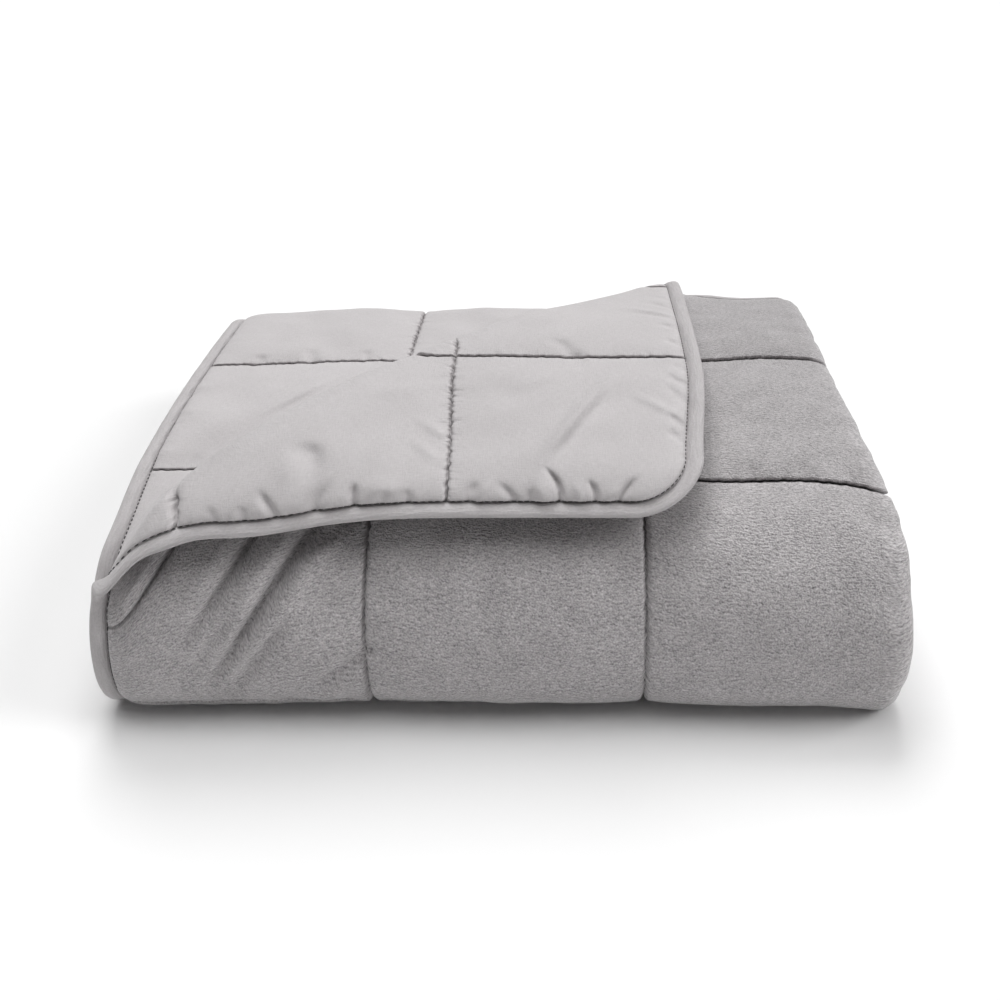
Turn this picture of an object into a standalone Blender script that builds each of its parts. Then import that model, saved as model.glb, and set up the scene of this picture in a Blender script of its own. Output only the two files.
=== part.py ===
"""A quilted weighted blanket, folded in half, then in three, with one corner turned back.

The blanket is described flat, as u across and v along it, with w standing off its middle
surface: w > 0 on the plush side and w < 0 on the woven side. Every point then goes through
the same three folds: the turned corner, the half fold at the right-hand side, and the long
fold that bends round the front and the back. Metres, +Z up, the front towards -Y.
"""

import math

import bmesh
import bpy
import numpy as np

# Cut size: square pockets, and border pockets that lose a little to the bound edge.
POCKET = 0.152
POCKETS_ACROSS = 6
POCKETS_ALONG = 8
BORDER_SHARE = 0.95
WIDTH = (POCKETS_ACROSS - 2 + 2 * BORDER_SHARE) * POCKET
LENGTH = (POCKETS_ALONG - 2 + 2 * BORDER_SHARE) * POCKET
CORNER_RADIUS = 0.032
TINY = 1e-9  # keeps a division clear of zero

# Thickness: half the quilt's thickness, measured to either side of its middle surface.
SEAM_HALF = 0.0022
CROWN_HALF = 0.0070
EDGE_HALF = 0.0030
OPEN_LOFT = 0.0040  # more rise where no other layer lies on the quilt
PLUSH_LOFT_FADE = 0.03  # past the start of the back bend
WOVEN_LOFT_FROM = 0.012  # past the crease
WOVEN_LOFT_FULL = 0.050
CROWN_SQUARENESS = 2.6
CROWN_FULLNESS = 0.75
EDGE_TAPER = 0.020
PLY = 0.0168

# Bound edge: a soft tube of cloth sewn round the cut edge.
BINDING_GAP = 0.0006
BINDING_HALF_WIDTH = 0.0044
BINDING_HALF_HEIGHT = 0.0034
BINDING_SIDES = 6

# Half fold, at the right-hand side.
HALF_FOLD_SHIFT = 0.0024  # the fold lies off the middle, so the lower leaf shows past the upper
HALF_FOLD_AT = WIDTH / 2 - HALF_FOLD_SHIFT
HALF_FOLD_BULB = 0.20
HALF_FOLD_BULB_WIDTH = 0.050
HALF_FOLD_SWELL = 0.0028
HALF_FOLD_SWELL_WIDTH = 0.012

# Long fold. The front-most line of the quilt is FRONT_LINE from its end, along v.
FRONT_LINE = 0.438
FRONT_CENTRE_Z = 0.0346
FRONT_FACE_Y = 0.0162
FRONT_UPPER_HEIGHT = 0.0488
FRONT_UPPER_DEPTH = 0.0546
FRONT_LOWER_RADIUS = 0.0192
FRONT_LOWER_CENTRE_Y = FRONT_FACE_Y + FRONT_LOWER_RADIUS
TOP_RUN_Z = FRONT_CENTRE_Z + FRONT_UPPER_HEIGHT
BOTTOM_RUN_Z = FRONT_CENTRE_Z - FRONT_LOWER_RADIUS
BACK_BEND_CENTRE_Y = 0.380
BACK_BEND_RADIUS = (TOP_RUN_Z - BOTTOM_RUN_Z) / 4
BACK_DROOP_FROM = 0.385
BACK_DROOP_RADIUS = 0.050
FRONT_UPPER_ARC = (FRONT_UPPER_HEIGHT + PLY) * math.pi / 2
FRONT_LOWER_ARC = (FRONT_LOWER_RADIUS + PLY / 2) * math.pi / 2
BOTTOM_RUN = BACK_BEND_CENTRE_Y - FRONT_LOWER_CENTRE_Y
BACK_BEND_START = FRONT_LINE + FRONT_LOWER_ARC + BOTTOM_RUN
BACK_BEND_ARC = (BACK_BEND_RADIUS + PLY / 2) * math.pi

# Turned corner: the crease cuts both edges CORNER_REACH from the corner, and rolls.
CORNER_REACH = 0.3286
CREASE_RADIUS = 0.0123
CREASE_LIFT = 0.0034
CREASE_LIFT_AT = 0.030
CREASE_LIFT_WIDTH = 0.050
FLAP_EDGE_LIFT = 0.0030
FLAP_EDGE_LIFT_WIDTH = 0.060

# How the hand-folded stack departs from a true one.
CREASE_BOWS = (  # the crease's bow towards the front: where along u, how wide, how far
    {"at": 0.0, "width": 0.0200, "bow": 0.0117},
    {"at": 0.0350, "width": 0.0180, "bow": 0.0072},
    {"at": 0.0836, "width": 0.0495, "bow": 0.0081},
)
CREASE_BOW_FROM = POCKET  # along v: no bow below this, all of it above the next
CREASE_BOW_FULL = 1.5 * POCKET
SIDE_SHEAR = 0.0295  # how far the leaves slip along v between two places across them
SIDE_SHEAR_FROM = 0.098
SIDE_SHEAR_FULL = 0.452
SIDE_SHEAR_FADE_FROM = 0.45
SIDE_SHEAR_FADE_TO = 0.90
FRONT_SLIP = 0.0090  # the cloth of the front pocket row is pulled down under the front
FRONT_SLIP_FROM = 0.330
FRONT_SLIP_FULL = 0.448
FRONT_SLIP_FADE_TO = 0.640
FLAP_STEADY_FROM = -0.049  # past the crease: the turned corner does not slip
FLAP_STEADY_FULL = 0.020
GATHER_AT_CORNER = 0.0098  # cloth gathered or let out along the left edge of the upper leaf
GATHER_AT_SEAM = -0.0054
GATHER_WIDTH = 0.9 * POCKET
CORNER_DROOP = 0.0314  # the left end of the turned corner hangs down over the front bend
CORNER_DROOP_WIDTH = 0.0233
CORNER_DROOP_FROM = 0.2023
CORNER_DROOP_FULL = 0.3023
CORNER_DROOP_FADE_FROM = 0.36
CORNER_DROOP_FADE_TO = 0.46
CREASE_SAG = 0.38  # the crease's back half lies flatter: by how much, where, how far round
CREASE_SAG_U = 0.275
CREASE_SAG_V = 0.050
CREASE_SAG_WIDTH = 0.090
STACK_CROWN = 0.155
STACK_DEPTH = 0.393
FLOOR_PRESS = 0.0028
FLOOR_PRESS_HEIGHT = 0.050
LEFT_SLUMP = 0.0480
LEFT_SLUMP_WIDTH = 0.128
RIGHT_DRAW = 0.0075  # the half fold draws in all along
RIGHT_TAPER = 0.0105  # and more towards the back
RIGHT_TAPER_FROM = 0.330
RIGHT_TAPER_FULL = 0.452
RIGHT_TAPER_BACK = 0.20
RIGHT_TAPER_FRONT = 0.36
RIGHT_ROLL = 0.06  # the half fold lies lower by this share of its height
RIGHT_ROLL_FROM = 0.41
RIGHT_ROLL_FULL = 0.455
RIGHT_ARCH = 0.045  # the last pocket column before it stands higher, but for its two ends
RIGHT_ARCH_AT = 0.39
RIGHT_ARCH_WIDTH = 0.035
RIGHT_ARCH_FROM = 0.02
RIGHT_ARCH_FULL = 0.10
RIGHT_ARCH_FADE_FROM = 0.25
RIGHT_ARCH_FADE_TO = 0.40
LEFT_DRAW = 0.0043  # the left edge draws in at the front
LEFT_DRAW_WIDTH = 0.12
LEFT_DRAW_FULL = 0.06
LEFT_DRAW_END = 0.16
EDGE_WANDER = 0.005
EDGE_WANDER_LENGTH = 0.31
EDGE_WANDER_WIDTH = 0.13
LOWER_LEAF_PHASE = 1.9
FOLD_WANDER_SHARE = 0.5

# Mesh lines of the flat quilt.
POCKET_LINES_ACROSS = (0.08, 0.36, 0.64, 0.92)
POCKET_LINES_ALONG = (0.08, 0.50, 0.92)
CORNER_LINES = (1.0, 0.55, 0.20)
FRONT_UPPER_LINES = 6
FRONT_LOWER_LINES = 4
BACK_BEND_LINES = 7
HALF_FOLD_LINES = 5
CLOSEST_LINES = 0.0035
CREASE_BAND = 0.020
CREASE_CUTS = 2
RIM_BAND = 0.006

PLUSH_COLOUR = (0.290, 0.273, 0.277, 1.0)
WOVEN_COLOUR = (0.520, 0.498, 0.502, 1.0)
CLOTH_ROUGHNESS = 0.9


def clear_scene():
    """Remove every object that the file starts with."""
    for found in list(bpy.data.objects):
        bpy.data.objects.remove(found, do_unlink=True)


def fabric(name, colour):
    """A dull cloth material of one colour."""
    material = bpy.data.materials.new(name)
    material.use_nodes = True
    shader = material.node_tree.nodes["Principled BSDF"]
    shader.inputs["Base Color"].default_value = colour
    shader.inputs["Roughness"].default_value = CLOTH_ROUGHNESS
    shader.inputs["Metallic"].default_value = 0.0
    return material


def ease(start, end, x):
    """0 below start, 1 above end, and a smooth rise between them."""
    t = np.clip((x - start) / (end - start), 0.0, 1.0)
    return t * t * (3.0 - 2.0 * t)


def seams(pockets):
    """Where the quilting seams lie across the cloth, its two cut edges included."""
    inner = [(BORDER_SHARE + i) * POCKET for i in range(pockets - 1)]
    return np.array([0.0, *inner, inner[-1] + BORDER_SHARE * POCKET])


SEAMS_ACROSS = seams(POCKETS_ACROSS)
SEAMS_ALONG = seams(POCKETS_ALONG)


# ---------------------------------------------------------------- flat quilt


def crown(x, lines):
    """How far a pocket has risen at x between its two seams, from 0 to 1."""
    pocket = np.clip(np.searchsorted(lines, x, side="right") - 1, 0, len(lines) - 2)
    start = lines[pocket]
    t = np.clip((x - start) / (lines[pocket + 1] - start), 0.0, 1.0)
    return (1.0 - np.abs(2.0 * t - 1.0) ** CROWN_SQUARENESS) ** CROWN_FULLNESS


def pocket_crown(u, v):
    """The pocket's rise at a flat point: 1 at its middle and 0 on its seams."""
    return crown(u, SEAMS_ACROSS) * crown(v, SEAMS_ALONG)


def crease_bow(u):
    """How far the crease bows towards the front at u."""
    return sum(row["bow"] * np.exp(-(((u - row["at"]) / row["width"]) ** 2)) for row in CREASE_BOWS)


def past_crease(u, v):
    """Distance of a flat point past the corner's crease, towards the corner."""
    bow = crease_bow(u) * ease(CREASE_BOW_FROM, CREASE_BOW_FULL, v)
    return (CORNER_REACH - u - v + bow) / math.sqrt(2.0)


def open_share(u, v, side):
    """1 where this side of the quilt (+1 plush, -1 woven) has nothing lying on it."""
    upper_leaf = u < WIDTH / 2
    if side > 0:
        outer = 1.0 - ease(BACK_BEND_START, BACK_BEND_START + PLUSH_LOFT_FADE, v)
        return np.where(upper_leaf, outer, 0.0)
    mirrored = np.where(upper_leaf, u, WIDTH - u)
    return ease(WOVEN_LOFT_FROM, WOVEN_LOFT_FULL, past_crease(mirrored, v))


def half_thickness(u, v, side):
    """Half thickness of the quilt at a flat point, on its plush (+1) or woven (-1) side."""
    rise = pocket_crown(u, v)
    edge = np.minimum(np.minimum(u, WIDTH - u), np.minimum(v, LENGTH - v))
    floor = EDGE_HALF + (SEAM_HALF - EDGE_HALF) * ease(0.0, EDGE_TAPER, edge)
    if side > 0:
        bent = np.exp(-(((u - HALF_FOLD_AT) / HALF_FOLD_SWELL_WIDTH) ** 2))
        floor = floor + HALF_FOLD_SWELL * bent * ease(0.0, EDGE_TAPER, edge)
    return floor + rise * (CROWN_HALF - SEAM_HALF + OPEN_LOFT * open_share(u, v, side))


def rounded(u, v):
    """Pull the flat points near the four corners in, so that the outline's corners are round."""
    for corner_u, out_u in ((CORNER_RADIUS, -1.0), (WIDTH - CORNER_RADIUS, 1.0)):
        for corner_v, out_v in ((CORNER_RADIUS, -1.0), (LENGTH - CORNER_RADIUS, 1.0)):
            a = (u - corner_u) * out_u
            b = (v - corner_v) * out_v
            inside = (a > 0.0) & (b > 0.0)
            shrink = np.maximum(a, b) / np.maximum(np.hypot(a, b), TINY)
            u = np.where(inside, corner_u + out_u * a * shrink, u)
            v = np.where(inside, corner_v + out_v * b * shrink, v)
    return u, v


# --------------------------------------------------------------------- folds


def hand_shifts(u, v):
    """The small slips along v that a hand-folded blanket has, as the new v."""
    leaf = np.minimum(u, WIDTH - u)
    shear = SIDE_SHEAR * ease(SIDE_SHEAR_FROM, SIDE_SHEAR_FULL, leaf)
    shear = shear * (1.0 - ease(SIDE_SHEAR_FADE_FROM, SIDE_SHEAR_FADE_TO, v))
    upper_leaf = u < WIDTH / 2
    steady = ease(FLAP_STEADY_FROM, FLAP_STEADY_FULL, past_crease(u, v))
    shear = np.where(upper_leaf, shear * (1.0 - steady), shear)
    border = BORDER_SHARE * POCKET
    middle = (GATHER_AT_CORNER + GATHER_AT_SEAM) / 2
    swing = (GATHER_AT_CORNER - GATHER_AT_SEAM) / 2
    wave = middle + swing * np.cos(math.pi * np.clip(v, 0.0, border) / border)
    fade = 1.0 - ease(border, border + POCKET, v)
    gather = wave * fade * (1.0 - ease(0.0, GATHER_WIDTH, u))
    slip = FRONT_SLIP * ease(FRONT_SLIP_FROM, FRONT_SLIP_FULL, v)
    slip = slip * (1.0 - ease(FRONT_SLIP_FULL, FRONT_SLIP_FADE_TO, v))
    return v + shear + slip + np.where(upper_leaf, gather, 0.0)


def turn_corner(u, v, w):
    """Fold the corner of the upper leaf over along its crease: new u, v and w."""
    window = ease(CREASE_BOW_FROM, CREASE_BOW_FULL, v)
    bowed = v - crease_bow(u) * window
    past = (CORNER_REACH - u - bowed) / math.sqrt(2.0)
    half_arc = math.pi * CREASE_RADIUS / 2
    angle = np.clip((past + half_arc) / CREASE_RADIUS, 0.0, math.pi)
    rolled = -half_arc + (CREASE_RADIUS - w) * np.sin(angle)
    turned = past > half_arc
    flat = past < -half_arc
    place = np.where(flat, past, np.where(turned, -past, rolled))
    height = CREASE_RADIUS - (CREASE_RADIUS - w) * np.cos(angle)
    height = np.where(flat, w, np.where(turned, 2 * CREASE_RADIUS - w, height))
    lift = CREASE_LIFT * np.exp(-(((past - CREASE_LIFT_AT) / CREASE_LIFT_WIDTH) ** 2))
    height = height + lift * ease(-half_arc, half_arc, past)
    edge_lift = FLAP_EDGE_LIFT * (1.0 - ease(0.0, FLAP_EDGE_LIFT_WIDTH, u))
    height = height + edge_lift * ease(half_arc, 2 * half_arc, past)
    step = (past - place) / math.sqrt(2.0)
    new_u = u + step
    new_v = np.where(flat, v, bowed + step + crease_bow(new_u))
    return new_u, new_v, height


def droop_corner(u, v, w):
    """Let the upper leaf hang at the crease's left end and sag along its back half."""
    hang = ease(CORNER_DROOP_FROM, CORNER_DROOP_FULL, v)
    hang = hang * (1.0 - ease(CORNER_DROOP_FADE_FROM, CORNER_DROOP_FADE_TO, v))
    droop = CORNER_DROOP * np.exp(-((u / CORNER_DROOP_WIDTH) ** 2)) * hang
    off_sag = np.hypot(u - CREASE_SAG_U, v - CREASE_SAG_V) / CREASE_SAG_WIDTH
    return v + droop, w * (1.0 - CREASE_SAG * np.exp(-(off_sag**2)))


def half_fold(u, w):
    """Fold the lower leaf under: x across the stack and h above the two leaves' middle."""
    half = PLY / 2
    bend_from = HALF_FOLD_AT - math.pi * half / 2
    angle = np.clip((u - bend_from) / half, 0.0, math.pi)
    before = u < bend_from
    after = u > bend_from + math.pi * half
    x = bend_from + (half + w) * np.sin(angle)
    x = np.where(before, u, np.where(after, 2 * HALF_FOLD_AT - u, x))
    h = (half + w) * np.cos(angle)
    h = np.where(before, half + w, np.where(after, -half - w, h))
    return x, h * (1.0 + HALF_FOLD_BULB * ease(HALF_FOLD_AT - HALF_FOLD_BULB_WIDTH, HALF_FOLD_AT, x))


def upper_run(v, h):
    """The top of the stack and the upper half of the front bend: y and z."""
    along = FRONT_LINE - v
    depth = FRONT_UPPER_DEPTH + h
    height = FRONT_UPPER_HEIGHT + h
    arc = np.sqrt((depth**2 + height**2) / 2.0) * math.pi / 2
    share = np.clip(along / arc, 0.0, 1.0)
    uneven = arc / height / math.pi - 0.5
    angle = share * math.pi / 2 + uneven * np.sin(math.pi * share)
    straight = np.maximum(along - arc, 0.0)
    y = FRONT_FACE_Y + FRONT_UPPER_DEPTH - depth * np.cos(angle) + straight
    z = FRONT_CENTRE_Z + height * np.sin(angle)
    droop_z = TOP_RUN_Z - BACK_DROOP_RADIUS
    droop = np.maximum(y - BACK_DROOP_FROM, 0.0) / BACK_DROOP_RADIUS
    reach = z - droop_z
    y_drooped = BACK_DROOP_FROM + reach * np.sin(droop)
    z_drooped = droop_z + reach * np.cos(droop)
    return np.where(droop > 0.0, y_drooped, y), np.where(droop > 0.0, z_drooped, z)


def lower_run(v, h):
    """The lower half of the front bend, the bottom, the back bend and the inner run."""
    along = v - FRONT_LINE
    turn = np.clip(along / FRONT_LOWER_ARC, 0.0, 1.0) * math.pi / 2
    past_turn = np.maximum(along - FRONT_LOWER_ARC, 0.0)
    front = FRONT_LOWER_RADIUS + h
    y = FRONT_LOWER_CENTRE_Y - front * np.cos(turn) + np.minimum(past_turn, BOTTOM_RUN)
    z = FRONT_CENTRE_Z - front * np.sin(turn)
    past_bottom = np.maximum(past_turn - BOTTOM_RUN, 0.0)
    bend = np.clip(past_bottom / BACK_BEND_ARC, 0.0, 1.0) * math.pi
    inner = np.maximum(past_bottom - BACK_BEND_ARC, 0.0)
    back = BACK_BEND_RADIUS + h
    y_back = BACK_BEND_CENTRE_Y + back * np.sin(bend) - inner
    z_back = BOTTOM_RUN_Z + BACK_BEND_RADIUS - back * np.cos(bend)
    bent = past_bottom > 0.0
    return np.where(bent, y_back, y), np.where(bent, z_back, z)


def long_fold(v, h):
    """Fold the two leaves in three along their length: y from the front, and z."""
    y_upper, z_upper = upper_run(v, h)
    y_lower, z_lower = lower_run(v, h)
    upper = v <= FRONT_LINE
    return np.where(upper, y_upper, y_lower), np.where(upper, z_upper, z_lower)


def right_share(x, y):
    """The height of the stack's right-hand side, as a share of what the folds give it."""
    roll = RIGHT_ROLL * ease(RIGHT_ROLL_FROM, RIGHT_ROLL_FULL, x)
    arch = RIGHT_ARCH * np.exp(-(((x - RIGHT_ARCH_AT) / RIGHT_ARCH_WIDTH) ** 2))
    arch = arch * ease(RIGHT_ARCH_FROM, RIGHT_ARCH_FULL, y)
    arch = arch * (1.0 - ease(RIGHT_ARCH_FADE_FROM, RIGHT_ARCH_FADE_TO, y))
    return 1.0 - roll + arch


def settle(x, y, z, v, lower_leaf):
    """Slump and wander of the stack: the new x and z."""
    at_back = 1.0 - ease(RIGHT_TAPER_BACK, RIGHT_TAPER_FRONT, v)
    x = x - (RIGHT_DRAW + RIGHT_TAPER * at_back) * ease(RIGHT_TAPER_FROM, RIGHT_TAPER_FULL, x)
    at_front = 1.0 - ease(LEFT_DRAW_FULL, LEFT_DRAW_END, y)
    x = x + LEFT_DRAW * (1.0 - ease(0.0, LEFT_DRAW_WIDTH, x)) * at_front
    phase = 2.0 * math.pi * v / EDGE_WANDER_LENGTH + np.where(lower_leaf, LOWER_LEAF_PHASE, 0.0)
    hidden = ease(FRONT_LINE, FRONT_LINE + POCKET, v)
    near_edge = 1.0 - ease(0.0, EDGE_WANDER_WIDTH, x)
    near_fold = FOLD_WANDER_SHARE * ease(HALF_FOLD_AT - EDGE_WANDER_WIDTH, HALF_FOLD_AT, x)
    wander = EDGE_WANDER * np.sin(phase) * near_edge
    wander = wander - EDGE_WANDER * (1.0 + np.sin(phase)) * near_fold
    x = x + hidden * wander
    swell = 1.0 + STACK_CROWN * np.sin(math.pi * np.clip(y / STACK_DEPTH, 0.0, 1.0))
    slump = 1.0 - LEFT_SLUMP * (1.0 - ease(0.0, LEFT_SLUMP_WIDTH, x))
    z = z * swell * slump * right_share(x, y)
    return x, np.maximum(z - FLOOR_PRESS * (1.0 - ease(0.0, FLOOR_PRESS_HEIGHT, z)), 0.0)


def fold(u, v, w):
    """Where a point of the flat quilt lies in the folded stack, as an (n, 3) array."""
    upper_leaf = u < WIDTH / 2
    shifted = hand_shifts(u, v)
    u_turned, v_turned, w_turned = turn_corner(u, shifted, w)
    v_turned, w_turned = droop_corner(u_turned, v_turned, w_turned)
    u = np.where(upper_leaf, u_turned, u)
    v = np.where(upper_leaf, v_turned, shifted)
    w = np.where(upper_leaf, w_turned, w)
    x, h = half_fold(u, w)
    y, z = long_fold(v, h)
    x, z = settle(x, y, z, v, ~upper_leaf)
    return np.stack([x - WIDTH / 4, y, z], axis=-1)


# -------------------------------------------------------------------- solids


def merged_lines(seam_lines, extra_lines):
    """The seam lines and those extra lines that keep clear of every line before them."""
    kept = list(seam_lines)
    for line in extra_lines:
        if min(abs(line - other) for other in kept) > CLOSEST_LINES:
            kept.append(line)
    return sorted(kept)


def mesh_lines(edges, bends, shares):
    """Mesh lines across one direction, the seams first and the plain pocket lines last."""
    corner = [share * CORNER_RADIUS for share in CORNER_LINES]
    corner += [edges[-1] - line for line in corner]
    inside = [
        start + share * (end - start)
        for start, end in zip(edges[:-1], edges[1:])
        for share in shares
    ]
    return merged_lines(edges, [*corner, *bends, *inside])


def flat_mesh():
    """The flat quilt as a triangulated sheet, finer along the corner's crease."""
    half_arc = math.pi * PLY / 4
    across = np.linspace(HALF_FOLD_AT - half_arc, HALF_FOLD_AT + half_arc, HALF_FOLD_LINES)
    along = [
        *np.linspace(FRONT_LINE - FRONT_UPPER_ARC, FRONT_LINE, FRONT_UPPER_LINES),
        *np.linspace(FRONT_LINE, FRONT_LINE + FRONT_LOWER_ARC, FRONT_LOWER_LINES),
        *np.linspace(BACK_BEND_START, BACK_BEND_START + BACK_BEND_ARC, BACK_BEND_LINES),
    ]
    u_lines = mesh_lines(SEAMS_ACROSS, across, POCKET_LINES_ACROSS)
    v_lines = mesh_lines(SEAMS_ALONG, along, POCKET_LINES_ALONG)
    sheet = bmesh.new()
    rows = [[sheet.verts.new((u, v, 0.0)) for u in u_lines] for v in v_lines]
    for low, high in zip(rows[:-1], rows[1:]):
        for i in range(len(u_lines) - 1):
            sheet.faces.new((low[i], low[i + 1], high[i + 1], high[i]))
    for cut in range(CREASE_CUTS + 1):
        band = [edge for edge in sheet.edges if crosses_crease(edge)]
        if cut == CREASE_CUTS:
            band = [edge for edge in band if min(edge.verts[0].co[:2]) < RIM_BAND]
        bmesh.ops.subdivide_edges(sheet, edges=band, cuts=1, use_grid_fill=True)
    for face in sheet.faces[:]:
        if len(face.verts) == 4:
            split_along_crease(face)
    bmesh.ops.triangulate(sheet, faces=sheet.faces[:])
    return sheet


def split_along_crease(face):
    """Cut a four-sided face in two by the diagonal that runs nearer the crease's way."""
    corners = list(face.verts)
    one, other = (corners[0], corners[2]), (corners[1], corners[3])
    across = [abs(sum(pair[0].co[:2]) - sum(pair[1].co[:2])) for pair in (one, other)]
    bmesh.utils.face_split(face, *(one if across[0] < across[1] else other))


def crosses_crease(edge):
    """Whether an edge of the flat sheet lies in the band that the crease rolls."""
    u, v = (sum(vert.co[axis] for vert in edge.verts) / 2 for axis in (0, 1))
    reach = CREASE_BAND + edge.calc_length() / 2 / math.sqrt(2.0)
    return u < WIDTH / 2 and abs(float(past_crease(u, v))) < reach


def outline(sheet):
    """Indices of the sheet's rim points, in order round it."""
    ahead = {}
    for edge in sheet.edges:
        if edge.is_boundary:
            loop = edge.link_loops[0]
            ahead[loop.vert.index] = loop.link_loop_next.vert.index
    ring = [min(ahead)]
    while ahead[ring[-1]] != ring[0]:
        ring.append(ahead[ring[-1]])
    return ring


def closed_sheet(sheet, u, v, rim):
    """Points and faces of the sheet given its thickness, with a wall round its rim."""
    plush = fold(u, v, half_thickness(u, v, 1.0))
    woven = fold(u, v, -half_thickness(u, v, -1.0))
    count = len(u)
    faces = []
    for face in sheet.faces:
        corners = [vert.index for vert in face.verts]
        faces.append(corners[::-1])
        faces.append([count + i for i in corners])
    for first, second in zip(rim, rim[1:] + rim[:1]):
        faces.append([first, second, count + second, count + first])
    return np.concatenate([plush, woven]), faces


def binding_tube(u, v):
    """Points and faces of the bound edge: a closed ring of BINDING_SIDES sides round the rim."""
    out_u = u - np.clip(u, CORNER_RADIUS, WIDTH - CORNER_RADIUS)
    out_v = v - np.clip(v, CORNER_RADIUS, LENGTH - CORNER_RADIUS)
    reach = np.hypot(out_u, out_v)
    out_u, out_v = out_u / reach, out_v / reach
    widen = 1.0 / math.cos(math.pi / BINDING_SIDES)
    rings = []
    for side in range(BINDING_SIDES):
        angle = 2.0 * math.pi * (side + 0.5) / BINDING_SIDES
        out = BINDING_GAP + BINDING_HALF_WIDTH * (1.0 + widen * math.cos(angle))
        w = np.full(len(u), BINDING_HALF_HEIGHT * math.sin(angle))
        rings.append(fold(u + out_u * out, v + out_v * out, w))
    count = len(u)
    faces = []
    for side in range(BINDING_SIDES):
        here = side * count
        above = (side + 1) % BINDING_SIDES * count
        for i in range(count):
            ahead = (i + 1) % count
            faces.append([here + ahead, here + i, above + i, above + ahead])
    return np.concatenate(rings), faces


def add_solid(name, points, faces, material, offset):
    """Make a named, smooth-shaded object of these points, moved by offset."""
    mesh = bpy.data.meshes.new(name)
    mesh.from_pydata((points + offset).tolist(), [], faces)
    mesh.materials.append(material)
    mesh.shade_smooth()
    mesh.update()
    solid = bpy.data.objects.new(name, mesh)
    bpy.context.scene.collection.objects.link(solid)
    return solid


def main():
    """Build the quilt and its bound edge, centred on the floor under them."""
    clear_scene()
    sheet = flat_mesh()
    sheet.verts.index_update()
    flat = np.array([vert.co[:2] for vert in sheet.verts])
    u, v = rounded(flat[:, 0], flat[:, 1])
    rim = outline(sheet)
    quilt_points, quilt_faces = closed_sheet(sheet, u, v, rim)
    binding_points, binding_faces = binding_tube(u[rim], v[rim])
    sheet.free()
    together = np.concatenate([quilt_points, binding_points])
    middle = (together.min(axis=0) + together.max(axis=0)) / 2
    offset = np.array([-middle[0], -middle[1], 0.0])
    plush = fabric("plush_fabric", PLUSH_COLOUR)
    woven = fabric("woven_fabric", WOVEN_COLOUR)
    add_solid("quilt", quilt_points, quilt_faces, plush, offset)
    add_solid("binding", binding_points, binding_faces, woven, offset)


main()
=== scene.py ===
"""The looks of a folded weighted blanket: plush and woven faces, bound edge, stitching, studio.

The blanket is described flat, as u across and v along it in metres, with w standing off its
middle surface: w > 0 on the plush side and w < 0 on the woven side. Every piece is built flat
and then carried through the folds by FoldedForm.
"""

import logging
import math
from dataclasses import dataclass
from enum import Enum
from typing import TypeVar

import bmesh
import bpy
import numpy as np
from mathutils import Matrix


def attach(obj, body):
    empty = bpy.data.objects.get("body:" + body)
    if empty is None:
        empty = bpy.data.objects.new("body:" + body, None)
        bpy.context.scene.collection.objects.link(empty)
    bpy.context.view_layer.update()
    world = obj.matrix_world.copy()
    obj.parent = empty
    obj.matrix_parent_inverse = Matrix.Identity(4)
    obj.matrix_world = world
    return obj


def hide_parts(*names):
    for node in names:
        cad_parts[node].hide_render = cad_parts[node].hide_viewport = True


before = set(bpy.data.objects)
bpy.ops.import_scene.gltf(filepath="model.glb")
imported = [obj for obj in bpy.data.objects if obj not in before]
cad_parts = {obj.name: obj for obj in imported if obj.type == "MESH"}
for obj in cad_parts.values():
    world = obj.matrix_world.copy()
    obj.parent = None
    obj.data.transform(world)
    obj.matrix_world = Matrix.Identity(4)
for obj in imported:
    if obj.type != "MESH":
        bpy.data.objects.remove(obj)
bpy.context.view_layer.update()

logging.basicConfig(level=logging.INFO, format="%(message)s")
LOG = logging.getLogger("blanket")

Array = np.ndarray
Point = tuple[float, float]
Colour = tuple[float, float, float]
T = TypeVar("T")


class Side(Enum):
    """The two faces of the quilt, by the sign of w on them."""

    PLUSH = 1
    WOVEN = -1

    def pick(self, pair: tuple[T, T]) -> T:
        """The first of a pair on the plush side, the second on the woven side."""
        return pair[0] if self is Side.PLUSH else pair[1]


class Root(Enum):
    """Which ends of a crease run on at full depth instead of fading out."""

    NONE = 0
    START = 1
    BOTH = 2


def ease(start: float, end: float, x: Array) -> Array:
    """0 below start, 1 above end, and a smooth rise between them."""
    t = np.clip((x - start) / (end - start), 0.0, 1.0)
    return t * t * (3.0 - 2.0 * t)


def bell(x: Array, middle: float, width: float) -> Array:
    """1 at the middle, falling away to 0 on both sides over about twice the width."""
    return np.exp(-(((x - middle) / width) ** 2))


def seam_gap(x: Array, lines: Array) -> Array:
    """Distance to the nearest quilting seam, with the two cut edges left out."""
    return np.abs(x[:, None] - lines[None, 1:-1]).min(axis=1)


# ------------------------------------------------------------------ the folded form


@dataclass(frozen=True)
class QuiltSizes:
    """Sizes of the flat quilt, in metres."""

    pocket: float = 0.152
    pockets_across: int = 6
    pockets_along: int = 8
    border_share: float = 0.95
    corner_radius: float = 0.032
    ply: float = 0.0168

    @property
    def width(self) -> float:
        """Cut width, along u."""
        return (self.pockets_across - 2 + 2 * self.border_share) * self.pocket

    @property
    def length(self) -> float:
        """Cut length, along v."""
        return (self.pockets_along - 2 + 2 * self.border_share) * self.pocket

    def seams(self, pockets: int) -> Array:
        """Places of the quilting seams across so many pockets, cut edges included."""
        inner = [(self.border_share + i) * self.pocket for i in range(pockets - 1)]
        return np.array([0.0, *inner, inner[-1] + self.border_share * self.pocket])


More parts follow.
